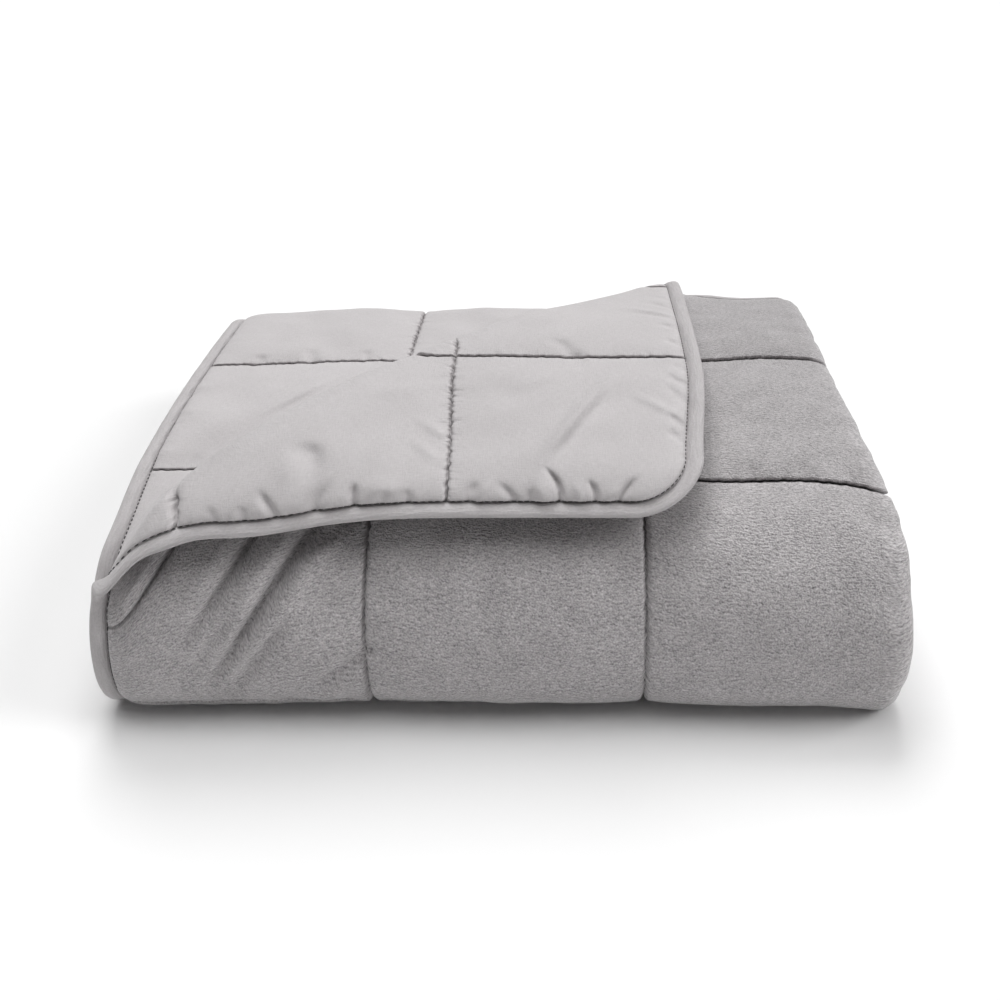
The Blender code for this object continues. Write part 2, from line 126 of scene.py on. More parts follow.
@dataclass(frozen=True)
class FoldSizes:
    """Sizes of the turned corner, the half fold and the long fold, in metres."""

    half_fold_shift: float = 0.0024
    half_fold_bulb: float = 0.20
    half_fold_bulb_width: float = 0.050
    front_line: float = 0.438
    front_centre_z: float = 0.0346
    front_face_y: float = 0.0162
    front_upper_height: float = 0.0488
    front_upper_depth: float = 0.0546
    front_lower_radius: float = 0.0192
    back_bend_centre_y: float = 0.380
    back_droop_from: float = 0.385
    back_droop_radius: float = 0.050
    corner_reach: float = 0.3286
    crease_radius: float = 0.0123
    crease_lift: float = 0.0034
    crease_lift_at: float = 0.030
    crease_lift_width: float = 0.050
    flap_edge_lift: float = 0.0030
    flap_edge_lift_width: float = 0.060
    corner_droop: float = 0.0314
    corner_droop_width: float = 0.0233
    corner_droop_from: float = 0.2023
    corner_droop_full: float = 0.3023
    corner_droop_fade_from: float = 0.36
    corner_droop_fade_to: float = 0.46
    crease_sag: float = 0.38
    crease_sag_at: Point = (0.275, 0.050)
    crease_sag_width: float = 0.090


@dataclass(frozen=True)
class HandSizes:
    """How the hand-folded stack departs from a true one, in metres."""

    crease_bows: tuple[tuple[float, float, float], ...] = (  # place, width, bow
        (0.0, 0.0200, 0.0117),
        (0.0350, 0.0180, 0.0072),
        (0.0836, 0.0495, 0.0081),
    )
    crease_bow_full: float = 1.5  # pockets
    side_shear: float = 0.0295
    side_shear_across: Point = (0.098, 0.452)
    side_shear_fade: Point = (0.45, 0.90)
    front_slip: float = 0.0090
    front_slip_from: float = 0.330
    front_slip_full: float = 0.448
    front_slip_fade_to: float = 0.640
    flap_steady: Point = (-0.049, 0.020)
    gather_at_corner: float = 0.0098
    gather_at_seam: float = -0.0054
    gather_share: float = 0.9
    stack_crown: float = 0.155
    stack_depth: float = 0.393
    floor_press: float = 0.0028
    floor_press_height: float = 0.050
    left_slump: float = 0.0480
    left_slump_width: float = 0.128
    right_draw: float = 0.0075
    right_taper: float = 0.0105
    right_taper_across: Point = (0.330, 0.452)
    right_taper_along: Point = (0.20, 0.36)
    right_roll: float = 0.06
    right_roll_across: Point = (0.41, 0.455)
    right_arch: float = 0.045
    right_arch_at: float = 0.39
    right_arch_width: float = 0.035
    right_arch_rise: Point = (0.02, 0.10)
    right_arch_fade: Point = (0.25, 0.40)
    left_draw: float = 0.0043
    left_draw_width: float = 0.12
    left_draw_fade: Point = (0.06, 0.16)
    edge_wander: float = 0.005
    edge_wander_length: float = 0.31
    edge_wander_width: float = 0.13
    lower_leaf_phase: float = 1.9
    fold_wander_share: float = 0.5
    stand_at: Point = (0.01474, -0.21193)


class FoldedForm:
    """Carries points of the flat quilt to their places in the folded stack."""

    def __init__(self) -> None:
        """Work out the lines that the folds need from their sizes."""
        self.quilt = QuiltSizes()
        self.folds = FoldSizes()
        self.hand = HandSizes()
        self.seams_across = self.quilt.seams(self.quilt.pockets_across)
        self.seams_along = self.quilt.seams(self.quilt.pockets_along)
        self.half_fold_at = self.quilt.width / 2 - self.folds.half_fold_shift
        self.top_z = self.folds.front_centre_z + self.folds.front_upper_height
        self.bottom_z = self.folds.front_centre_z - self.folds.front_lower_radius
        self.lower_centre_y = self.folds.front_face_y + self.folds.front_lower_radius
        self.lower_arc = (self.folds.front_lower_radius + self.quilt.ply / 2) * math.pi / 2
        self.bottom_run = self.folds.back_bend_centre_y - self.lower_centre_y
        self.back_radius = (self.top_z - self.bottom_z) / 4
        self.back_bend_start = self.folds.front_line + self.lower_arc + self.bottom_run
        self.back_bend_arc = (self.back_radius + self.quilt.ply / 2) * math.pi

    def crease_bow(self, u: Array) -> Array:
        """How far the corner's crease bows towards the front at u."""
        return sum(bow * bell(u, at, width) for at, width, bow in self.hand.crease_bows)

    def bowed(self, u: Array, v: Array) -> Array:
        """The bow of the crease at flat points, none over the first row of pockets."""
        pocket = self.quilt.pocket
        return self.crease_bow(u) * ease(pocket, self.hand.crease_bow_full * pocket, v)

    def past_crease(self, u: Array, v: Array) -> Array:
        """Distance of a flat point past the corner's crease, towards the corner."""
        return (self.folds.corner_reach - u - v + self.bowed(u, v)) / math.sqrt(2.0)

    def hand_shifts(self, u: Array, v: Array) -> Array:
        """Work out the small slips along v that a hand-folded blanket has.

        Args:
            u: places across the quilt.
            v: places along the quilt.

        Returns:
            The new v.
        """
        hand, quilt = self.hand, self.quilt
        leaf = np.minimum(u, quilt.width - u)
        shear = hand.side_shear * ease(*hand.side_shear_across, leaf)
        shear = shear * (1.0 - ease(*hand.side_shear_fade, v))
        upper_leaf = u < quilt.width / 2
        steady = ease(*hand.flap_steady, self.past_crease(u, v))
        shear = np.where(upper_leaf, shear * (1.0 - steady), shear)
        border = quilt.border_share * quilt.pocket
        middle = (hand.gather_at_corner + hand.gather_at_seam) / 2
        swing = (hand.gather_at_corner - hand.gather_at_seam) / 2
        wave = middle + swing * np.cos(math.pi * np.clip(v, 0.0, border) / border)
        fade = 1.0 - ease(border, border + quilt.pocket, v)
        gather = wave * fade * (1.0 - ease(0.0, hand.gather_share * quilt.pocket, u))
        slip = hand.front_slip * ease(hand.front_slip_from, hand.front_slip_full, v)
        slip = slip * (1.0 - ease(hand.front_slip_full, hand.front_slip_fade_to, v))
        return v + shear + slip + np.where(upper_leaf, gather, 0.0)

    def turn_corner(self, u: Array, v: Array, w: Array) -> tuple[Array, Array, Array]:
        """Fold the corner of the upper leaf over along its crease.

        Args:
            u: places across the quilt.
            v: places along the quilt.
            w: heights off the middle surface, positive on the plush side.

        Returns:
            The new u, v and w.
        """
        folds = self.folds
        radius = folds.crease_radius
        drawn = v - self.bowed(u, v)
        past = (folds.corner_reach - u - drawn) / math.sqrt(2.0)
        half_arc = math.pi * radius / 2
        angle = np.clip((past + half_arc) / radius, 0.0, math.pi)
        rolled = -half_arc + (radius - w) * np.sin(angle)
        turned = past > half_arc
        flat = past < -half_arc
        place = np.where(flat, past, np.where(turned, -past, rolled))
        height = radius - (radius - w) * np.cos(angle)
        height = np.where(flat, w, np.where(turned, 2 * radius - w, height))
        lift = folds.crease_lift * bell(past, folds.crease_lift_at, folds.crease_lift_width)
        height = height + lift * ease(-half_arc, half_arc, past)
        edge_lift = folds.flap_edge_lift * (1.0 - ease(0.0, folds.flap_edge_lift_width, u))
        height = height + edge_lift * ease(half_arc, 2 * half_arc, past)
        step = (past - place) / math.sqrt(2.0)
        new_u = u + step
        new_v = np.where(flat, v, drawn + step + self.crease_bow(new_u))
        return new_u, new_v, height

    def droop_corner(self, u: Array, v: Array, w: Array) -> tuple[Array, Array]:
        """Let the upper leaf hang at the crease's left end and sag along its back half.

        Args:
            u: places across the quilt.
            v: places along the quilt.
            w: heights off the middle surface, positive on the plush side.

        Returns:
            The new v and w.
        """
        folds = self.folds
        hang = ease(folds.corner_droop_from, folds.corner_droop_full, v)
        hang = hang * (1.0 - ease(folds.corner_droop_fade_from, folds.corner_droop_fade_to, v))
        droop = folds.corner_droop * bell(u, 0.0, folds.corner_droop_width) * hang
        sag_u, sag_v = folds.crease_sag_at
        off_sag = np.hypot(u - sag_u, v - sag_v) / folds.crease_sag_width
        return v + droop, w * (1.0 - folds.crease_sag * np.exp(-(off_sag**2)))

    def half_fold(self, u: Array, w: Array) -> tuple[Array, Array]:
        """Fold the lower leaf under the upper one.

        Args:
            u: places across the quilt.
            w: heights off the middle surface, positive on the plush side.

        Returns:
            Places across the stack, and heights above the middle between the leaves.
        """
        half = self.quilt.ply / 2
        bend_from = self.half_fold_at - math.pi * half / 2
        angle = np.clip((u - bend_from) / half, 0.0, math.pi)
        before = u < bend_from
        after = u > bend_from + math.pi * half
        x = bend_from + (half + w) * np.sin(angle)
        x = np.where(before, u, np.where(after, 2 * self.half_fold_at - u, x))
        h = (half + w) * np.cos(angle)
        h = np.where(before, half + w, np.where(after, -half - w, h))
        bulb_from = self.half_fold_at - self.folds.half_fold_bulb_width
        return x, h * (1.0 + self.folds.half_fold_bulb * ease(bulb_from, self.half_fold_at, x))

    def upper_run(self, v: Array, h: Array) -> tuple[Array, Array]:
        """Lay the top of the stack and the upper half of the front bend.

        Args:
            v: places along the quilt.
            h: heights above the middle between the two leaves.

        Returns:
            y from the front, and z.
        """
        folds = self.folds
        along = folds.front_line - v
        depth = folds.front_upper_depth + h
        height = folds.front_upper_height + h
        arc = np.sqrt((depth**2 + height**2) / 2.0) * math.pi / 2
        share = np.clip(along / arc, 0.0, 1.0)
        uneven = arc / height / math.pi - 0.5
        angle = share * math.pi / 2 + uneven * np.sin(math.pi * share)
        straight = np.maximum(along - arc, 0.0)
        y = folds.front_face_y + folds.front_upper_depth - depth * np.cos(angle) + straight
        z = folds.front_centre_z + height * np.sin(angle)
        droop_z = self.top_z - folds.back_droop_radius
        droop = np.maximum(y - folds.back_droop_from, 0.0) / folds.back_droop_radius
        reach = z - droop_z
        y_drooped = folds.back_droop_from + reach * np.sin(droop)
        z_drooped = droop_z + reach * np.cos(droop)
        return np.where(droop > 0.0, y_drooped, y), np.where(droop > 0.0, z_drooped, z)

    def lower_run(self, v: Array, h: Array) -> tuple[Array, Array]:
        """Lay the lower front bend, the bottom, the back bend and the inner run.

        Args:
            v: places along the quilt.
            h: heights above the middle between the two leaves.

        Returns:
            y from the front, and z.
        """
        folds = self.folds
        along = v - folds.front_line
        turn = np.clip(along / self.lower_arc, 0.0, 1.0) * math.pi / 2
        past_turn = np.maximum(along - self.lower_arc, 0.0)
        front = folds.front_lower_radius + h
        y = self.lower_centre_y - front * np.cos(turn) + np.minimum(past_turn, self.bottom_run)
        z = folds.front_centre_z - front * np.sin(turn)
        past_bottom = np.maximum(past_turn - self.bottom_run, 0.0)
        bend = np.clip(past_bottom / self.back_bend_arc, 0.0, 1.0) * math.pi
        inner = np.maximum(past_bottom - self.back_bend_arc, 0.0)
        back = self.back_radius + h
        y_back = folds.back_bend_centre_y + back * np.sin(bend) - inner
        z_back = self.bottom_z + self.back_radius - back * np.cos(bend)
        bent = past_bottom > 0.0
        return np.where(bent, y_back, y), np.where(bent, z_back, z)

    def right_share(self, x: Array, y: Array) -> Array:
        """Roll off and arch the stack's right-hand side.

        Args:
            x: places across the stack.
            y: places from its front.

        Returns:
            The height there, as a share of what the folds give it.
        """
        hand = self.hand
        arch = hand.right_arch * bell(x, hand.right_arch_at, hand.right_arch_width)
        arch = arch * ease(*hand.right_arch_rise, y) * (1.0 - ease(*hand.right_arch_fade, y))
        return 1.0 - hand.right_roll * ease(*hand.right_roll_across, x) + arch

    def settle(
        self, x: Array, y: Array, z: Array, v: Array, lower_leaf: Array
    ) -> tuple[Array, Array]:
        """Let the stack slump and its edges wander.

        Args:
            x: places across the stack.
            y: places from its front.
            z: heights above the floor.
            v: places along the quilt.
            lower_leaf: True on the leaf that is folded under.

        Returns:
            The new x and z.
        """
        hand, pocket = self.hand, self.quilt.pocket
        at_back = 1.0 - ease(*hand.right_taper_along, v)
        taper = hand.right_draw + hand.right_taper * at_back
        x = x - taper * ease(*hand.right_taper_across, x)
        at_front = 1.0 - ease(*hand.left_draw_fade, y)
        x = x + hand.left_draw * (1.0 - ease(0.0, hand.left_draw_width, x)) * at_front
        phase = 2.0 * math.pi * v / hand.edge_wander_length
        phase = phase + np.where(lower_leaf, hand.lower_leaf_phase, 0.0)
        hidden = ease(self.folds.front_line, self.folds.front_line + pocket, v)
        near_edge = 1.0 - ease(0.0, hand.edge_wander_width, x)
        near_fold = ease(self.half_fold_at - hand.edge_wander_width, self.half_fold_at, x)
        near_fold = hand.fold_wander_share * near_fold
        wander = hand.edge_wander * np.sin(phase) * near_edge
        wander = wander - hand.edge_wander * (1.0 + np.sin(phase)) * near_fold
        x = x + hidden * wander
        swell = 1.0 + hand.stack_crown * np.sin(math.pi * np.clip(y / hand.stack_depth, 0.0, 1.0))
        slump = 1.0 - hand.left_slump * (1.0 - ease(0.0, hand.left_slump_width, x))
        z = z * swell * slump * self.right_share(x, y)
        press = hand.floor_press * (1.0 - ease(0.0, hand.floor_press_height, z))
        return x, np.maximum(z - press, 0.0)

    def place(self, u: Array, v: Array, w: Array) -> Array:
        """Where flat points lie in the folded stack.

        Args:
            u: places across the quilt.
            v: places along the quilt.
            w: heights off its middle surface, positive on the plush side.

        Returns:
            An (n, 3) array in the CAD frame, in metres.
        """
        quilt = self.quilt
        upper_leaf = u < quilt.width / 2
        shifted = self.hand_shifts(u, v)
        u_turned, v_turned, w_turned = self.turn_corner(u, shifted, w)
        v_turned, w_turned = self.droop_corner(u_turned, v_turned, w_turned)
        u = np.where(upper_leaf, u_turned, u)
        v = np.where(upper_leaf, v_turned, shifted)
        w = np.where(upper_leaf, w_turned, w)
        x, h = self.half_fold(u, w)
        y, z = self.long_fold(v, h)
        x, z = self.settle(x, y, z, v, ~upper_leaf)
        stand_x, stand_y = self.hand.stand_at
        return np.stack([x - quilt.width / 4 + stand_x, y + stand_y, z], axis=-1)

    def long_fold(self, v: Array, h: Array) -> tuple[Array, Array]:
        """Fold the two leaves in three along their length.

        Args:
            v: places along the quilt.
            h: heights above the middle between the two leaves.

        Returns:
            y from the front, and z.
        """
        y_upper, z_upper = self.upper_run(v, h)
        y_lower, z_lower = self.lower_run(v, h)
        upper = v <= self.folds.front_line
        return np.where(upper, y_upper, y_lower), np.where(upper, z_upper, z_lower)

    def inset(self, u: Array, v: Array) -> Array:
        """Measure how far flat points lie inside the cut edge, round its corners too.

        Args:
            u: places across the quilt.
            v: places along the quilt.

        Returns:
            Distances in metres, below zero outside the edge.
        """
        quilt = self.quilt
        radius = quilt.corner_radius
        plain = np.minimum(np.minimum(u, quilt.width - u), np.minimum(v, quilt.length - v))
        off_u = np.maximum(radius - np.minimum(u, quilt.width - u), 0.0)
        off_v = np.maximum(radius - np.minimum(v, quilt.length - v), 0.0)
        in_corner = (off_u > 0.0) & (off_v > 0.0)
        return np.where(in_corner, radius - np.hypot(off_u, off_v), plain)

    def rounded(self, u: Array, v: Array) -> tuple[Array, Array]:
        """Pull flat points near the four corners in, so that the outline is round there.

        Args:
            u: places across the quilt.
            v: places along the quilt.

        Returns:
            The new u and v.
        """
        radius = self.quilt.corner_radius
        for corner_u, out_u in ((radius, -1.0), (self.quilt.width - radius, 1.0)):
            for corner_v, out_v in ((radius, -1.0), (self.quilt.length - radius, 1.0)):
                a = (u - corner_u) * out_u
                b = (v - corner_v) * out_v
                inside = (a > 0.0) & (b > 0.0)
                shrink = np.maximum(a, b) / np.maximum(np.hypot(a, b), 1e-9)
                u = np.where(inside, corner_u + out_u * a * shrink, u)
                v = np.where(inside, corner_v + out_v * b * shrink, v)
        return u, v


# ------------------------------------------------------------------ relief of the cloth


@dataclass(frozen=True)
class Crease:
    """One soft ridge or trough on the flat cloth, along a curve through three points.

    A height above zero is a ridge and one below zero a trough. A skew leans its cross-section,
    so that one side falls away faster than the other.
    """

    start: Point
    middle: Point
    end: Point
    height: float
    width: float
    skew: float = 0.0
    root: Root = Root.NONE
    fade_in: Point = (0.0, 0.45)
    fade_out: Point = (0.55, 1.0)
    steps: int = 10

    def locate(self, u: Array, v: Array) -> tuple[Array, Array, Array]:
        """Find flat points' places by the crease.

        Args:
            u: places across the quilt.
            v: places along the quilt.

        Returns:
            Their distance to the curve, the side they lie on, and how far along it they are.
        """
        t = np.linspace(0.0, 1.0, self.steps + 1)
        control = [2 * m - (s + e) / 2 for s, m, e in zip(self.start, self.middle, self.end)]
        curve = [
            (1 - t) ** 2 * s + 2 * t * (1 - t) * c + t**2 * e
            for s, c, e in zip(self.start, control, self.end)
        ]
        nearest = np.full(u.shape, np.inf)
        side = np.zeros(u.shape)
        along = np.zeros(u.shape)
        for i in range(self.steps):
            step_u, step_v = curve[0][i + 1] - curve[0][i], curve[1][i + 1] - curve[1][i]
            length = math.hypot(step_u, step_v)
            off_u, off_v = u - curve[0][i], v - curve[1][i]
            share = np.clip((off_u * step_u + off_v * step_v) / length**2, 0.0, 1.0)
            gap = np.hypot(off_u - share * step_u, off_v - share * step_v)
            closer = gap < nearest
            nearest = np.where(closer, gap, nearest)
            side = np.where(closer, np.sign(off_u * step_v - off_v * step_u), side)
            along = np.where(closer, (i + share) / self.steps, along)
        return nearest, side, along

    def relief(self, u: Array, v: Array) -> Array:
        """Work out the height of the crease at flat points.

        Args:
            u: places across the quilt.
            v: places along the quilt.

        Returns:
            Heights in metres, below zero in a trough.
        """
        nearest, side, along = self.locate(u, v)
        fade = 1.0
        if self.root is not Root.BOTH:
            fade = fade * (1.0 - ease(*self.fade_out, along))
        if self.root is Root.NONE:
            fade = fade * ease(*self.fade_in, along)
        reach = nearest / self.width
        return self.height * fade * np.exp(-(reach**2)) * (1.0 + self.skew * side * reach)


def rooted(
    start: Point, middle: Point, end: Point, height: float, width: float, skew: float = 0.0
) -> Crease:
    """A crease that starts at full depth, at a seam, an edge or another layer."""
    return Crease(start, middle, end, height, width, skew, Root.START)


PLUSH_CREASES = (
    # Pressed folds at the front left, running out from under the turned corner.
    Crease((0.044, 0.346), (0.024, 0.374), (0.001, 0.378), -0.0070, 0.0020, 0.0, Root.BOTH),
    rooted((0.040, 0.340), (0.020, 0.362), (0.004, 0.362), 0.0036, 0.0050),
    rooted((0.060, 0.344), (0.044, 0.372), (0.022, 0.392), 0.0016, 0.0070),
    rooted((0.088, 0.346), (0.066, 0.383), (0.036, 0.416), -0.0078, 0.0033, 0.3),
    rooted((0.076, 0.344), (0.056, 0.376), (0.040, 0.394), 0.0026, 0.0050),
    rooted((0.121, 0.344), (0.090, 0.391), (0.044, 0.444), -0.0104, 0.0033, 0.3),
    rooted((0.106, 0.346), (0.080, 0.387), (0.050, 0.422), 0.0034, 0.0050),
    rooted((0.130, 0.350), (0.100, 0.394), (0.064, 0.438), 0.0036, 0.0050),
    Crease((0.110, 0.386), (0.087, 0.416), (0.060, 0.448), -0.0058, 0.0040),
    Crease((0.082, 0.382), (0.063, 0.406), (0.042, 0.428), -0.0044, 0.0040),
    rooted((0.138, 0.342), (0.124, 0.357), (0.104, 0.374), -0.0054, 0.0040),
    rooted((0.147, 0.414), (0.130, 0.424), (0.104, 0.440), -0.0036, 0.0034, 0.4),
    Crease((0.147, 0.424), (0.128, 0.436), (0.106, 0.450), 0.0016, 0.0050),
    Crease((0.138, 0.374), (0.124, 0.390), (0.110, 0.406), -0.0018, 0.0070),
    rooted((0.184, 0.344), (0.178, 0.372), (0.172, 0.400), -0.0016, 0.0090),
    rooted((0.214, 0.344), (0.210, 0.376), (0.205, 0.405), -0.0014, 0.0085),
    # Slight pinches where the half fold bends a seam.
    rooted((0.452, 0.368), (0.436, 0.364), (0.412, 0.352), -0.0012, 0.0080),
    rooted((0.452, 0.412), (0.440, 0.412), (0.420, 0.416), -0.0014, 0.0080),
    rooted((0.452, 0.330), (0.430, 0.322), (0.404, 0.306), -0.0010, 0.0070),
    rooted((0.452, 0.235), (0.430, 0.240), (0.398, 0.246), -0.0008, 0.0080),
    rooted((0.452, 0.095), (0.420, 0.098), (0.380, 0.088), -0.0012, 0.0090),
    # Long shallow hollows behind the turned corner's right edge.
    Crease((0.310, 0.036), (0.350, 0.052), (0.400, 0.050), -0.0012, 0.0100),
    Crease((0.320, 0.108), (0.360, 0.098), (0.410, 0.104), -0.0010, 0.0090),
    Crease((0.318, 0.252), (0.350, 0.236), (0.392, 0.244), -0.0012, 0.0110),
    # Gathers along the row that runs out from under the turned corner's right edge.
    rooted((0.360, 0.297), (0.361, 0.288), (0.364, 0.278), -0.0008, 0.0044),
    rooted((0.394, 0.297), (0.392, 0.286), (0.393, 0.274), -0.0009, 0.0050),
    rooted((0.420, 0.297), (0.422, 0.288), (0.420, 0.276), -0.0009, 0.0046),
)

WOVEN_CREASES = (
    # Gathers along the front binding of the turned corner.
    rooted((-0.001, 0.079), (0.013, 0.079), (0.028, 0.091), -0.0042, 0.0020, 0.5),
    rooted((-0.001, 0.087), (0.011, 0.088), (0.022, 0.097), 0.0014, 0.0038),
    rooted((-0.001, 0.057), (0.009, 0.056), (0.019, 0.062), -0.0032, 0.0021, 0.5),
    rooted((-0.001, 0.064), (0.010, 0.065), (0.019, 0.071), 0.0012, 0.0034),
    rooted((-0.001, 0.041), (0.009, 0.037), (0.022, 0.026), -0.0034, 0.0021, -0.4),
    rooted((-0.001, 0.048), (0.008, 0.045), (0.016, 0.038), 0.0012, 0.0034),
    rooted((-0.001, 0.106), (0.007, 0.109), (0.017, 0.120), -0.0024, 0.0028, 0.4),
    rooted((-0.001, 0.127), (0.010, 0.124), (0.019, 0.117), 0.0016, 0.0024),
    rooted((-0.001, 0.133), (0.009, 0.131), (0.017, 0.127), -0.0022, 0.0030),
    rooted((-0.001, 0.096), (0.006, 0.096), (0.012, 0.100), -0.0018, 0.0028),
    rooted((-0.001, 0.164), (0.006, 0.165), (0.013, 0.167), -0.0018, 0.0030),
    rooted((-0.001, 0.180), (0.006, 0.179), (0.013, 0.175), -0.0016, 0.0030),
    rooted((-0.001, 0.199), (0.009, 0.199), (0.020, 0.197), -0.0032, 0.0026, 0.5),
    rooted((-0.001, 0.224), (0.010, 0.220), (0.026, 0.208), -0.0030, 0.0034, 0.5),
    rooted((-0.001, 0.242), (0.010, 0.245), (0.024, 0.251), -0.0028, 0.0028, 0.6),
    rooted((-0.001, 0.259), (0.007, 0.259), (0.014, 0.257), -0.0018, 0.0030),
    rooted((-0.001, 0.274), (0.007, 0.275), (0.014, 0.277), -0.0016, 0.0030),
    # The short seam near the tip, drawn tight.
    rooted((-0.001, 0.296), (0.015, 0.296), (0.034, 0.296), -0.0038, 0.0024),
    # Long soft folds across the turned corner.
    Crease((0.022, 0.096), (0.070, 0.071), (0.142, 0.038), 0.0036, 0.0040, 0.6),
    Crease((0.018, 0.088), (0.064, 0.062), (0.126, 0.032), -0.0012, 0.0060),
    Crease((0.096, 0.108), (0.112, 0.094), (0.131, 0.080), 0.0013, 0.0046, 0.4),
    Crease((0.080, 0.106), (0.096, 0.112), (0.118, 0.110), -0.0010, 0.0080),
    Crease((0.056, 0.226), (0.038, 0.226), (0.016, 0.221), -0.0036, 0.0070),
    Crease((0.048, 0.238), (0.034, 0.236), (0.020, 0.232), 0.0014, 0.0060),
    Crease((0.016, 0.198), (0.014, 0.180), (0.013, 0.160), 0.0016, 0.0056),
    Crease((0.076, 0.167), (0.060, 0.152), (0.046, 0.146), 0.0013, 0.0034, 0.6),
    Crease((0.056, 0.170), (0.040, 0.156), (0.028, 0.148), 0.0013, 0.0032, 0.6),
    Crease((0.092, 0.206), (0.100, 0.182), (0.104, 0.160), 0.0010, 0.0060),
    rooted((0.145, 0.075), (0.160, 0.078), (0.172, 0.090), -0.0016, 0.0046),
    rooted((0.146, 0.068), (0.134, 0.068), (0.122, 0.073), -0.0010, 0.0046),
    # Folds that fan out to the right binding of the turned corner.
    rooted((0.042, -0.001), (0.050, 0.007), (0.062, 0.014), -0.0020, 0.0028, 0.5),
    rooted((0.062, -0.001), (0.080, 0.018), (0.100, 0.042), 0.0016, 0.0034, 0.7),
    rooted((0.056, -0.001), (0.068, 0.008), (0.084, 0.020), -0.0018, 0.0032, 0.4),
    rooted((0.082, -0.001), (0.094, 0.008), (0.110, 0.018), -0.0018, 0.0032, 0.4),
    rooted((0.104, -0.001), (0.112, 0.009), (0.124, 0.020), -0.0018, 0.0032, 0.4),
    rooted((0.122, -0.001), (0.128, 0.006), (0.137, 0.012), -0.0016, 0.0030, 0.4),
    rooted((0.158, -0.001), (0.165, 0.007), (0.172, 0.016), -0.0018, 0.0034, 0.4),
    rooted((0.186, -0.001), (0.194, 0.008), (0.200, 0.022), -0.0018, 0.0038, 0.4),
    rooted((0.213, -0.001), (0.224, 0.022), (0.240, 0.046), 0.0018, 0.0046, 0.5),
    rooted((0.206, -0.001), (0.216, 0.014), (0.226, 0.034), -0.0020, 0.0042, 0.4),
    rooted((0.232, -0.001), (0.242, 0.012), (0.254, 0.026), -0.0018, 0.0038, 0.4),
    rooted((0.254, -0.001), (0.262, 0.010), (0.274, 0.020), -0.0016, 0.0036, 0.4),
    # The layer that the turned corner uncovers.
    Crease((0.842, 0.238), (0.818, 0.206), (0.790, 0.166), 0.0018, 0.0034, 0.5),
    Crease((0.846, 0.225), (0.826, 0.198), (0.804, 0.174), -0.0012, 0.0040),
    rooted((0.822, 0.145), (0.824, 0.132), (0.826, 0.116), -0.0020, 0.0046),
    rooted((0.862, 0.145), (0.860, 0.136), (0.862, 0.126), -0.0016, 0.0038),
    rooted((0.786, 0.145), (0.784, 0.134), (0.786, 0.124), -0.0014, 0.0038),
    rooted((0.872, 0.297), (0.870, 0.287), (0.868, 0.276), -0.0016, 0.0032),
    rooted((0.856, 0.297), (0.855, 0.284), (0.850, 0.270), -0.0018, 0.0032),
    rooted((0.842, 0.297), (0.838, 0.284), (0.836, 0.272), -0.0016, 0.0034),
)

CREASES = (PLUSH_CREASES, WOVEN_CREASES)


@dataclass(frozen=True)
class ReliefSizes:
    """Sizes of the rise of the pockets and of the puckers beside the seams, in metres.

    A pair is the least and the most of a size, its start and its end, or, for the seam's reach,
    the pinches' share and the seeds, the plush side's value and the woven side's.
    """

    seam_half: float = 0.0005
    edge_half: float = 0.0012
    edge_taper: float = 0.004
    wall: float = 0.0030
    wall_open: float = 0.0016
    seam_reach: Point = (0.0012, 0.00072)
    seam_power: float = 1.5
    seam_wander: float = 0.00024
    wander_lengths: Point = (0.0098, 0.0056)
    wander_short_share: float = 0.8
    wander_reach: float = 0.0040
    rim_rise: float = 0.0052
    rim_rise_reach: float = 0.020
    rim_reach: Point = (0.0012, 0.0085)
    rim_steep_share: float = 0.36
    rim_power: float = 1.5
    rim_inset: float = 0.0009
    crown: float = 0.0034
    crown_open: float = 0.0020
    squareness: float = 2.2
    fullness: float = 0.8
    fold_swell: float = 0.0028
    fold_swell_width: float = 0.012
    least_half: float = 0.0007
    ripple: float = 0.00046
    edge_ripple: float = 0.00075
    ripple_lengths: Point = (0.011, 0.048)
    ripple_reach: float = 0.55
    ripple_count: int = 9
    ripple_spread: Point = (0.88, 1.12)
    ripple_strength: Point = (0.4, 1.0)
    pinch_step: Point = (0.0034, 0.0078)
    pinch_depth: Point = (0.00020, 0.00105)
    pinch_reach: Point = (0.0016, 0.0050)
    pinch_slant: float = 0.8
    pinch_width: float = 0.0010
    pinch_spread: float = 0.15
    pinch_share: Point = (0.6, 1.0)
    edge_pinch: float = 1.3
    lump: float = 0.0009
    lump_count: int = 14
    lump_length: float = 0.070
    lump_length_spread: float = 0.035
    lump_phase: float = 6.0
    fold_crest: float = 0.0038
    fold_crest_at: float = 0.0128
    fold_crest_width: float = 0.0026
    hidden_share: float = 0.35
    turned_open: Point = (-0.010, 0.022)
    uncovered_open: Point = (0.012, 0.050)
    back_open: float = 0.03
    seeds: tuple[int, int] = (11, 23)


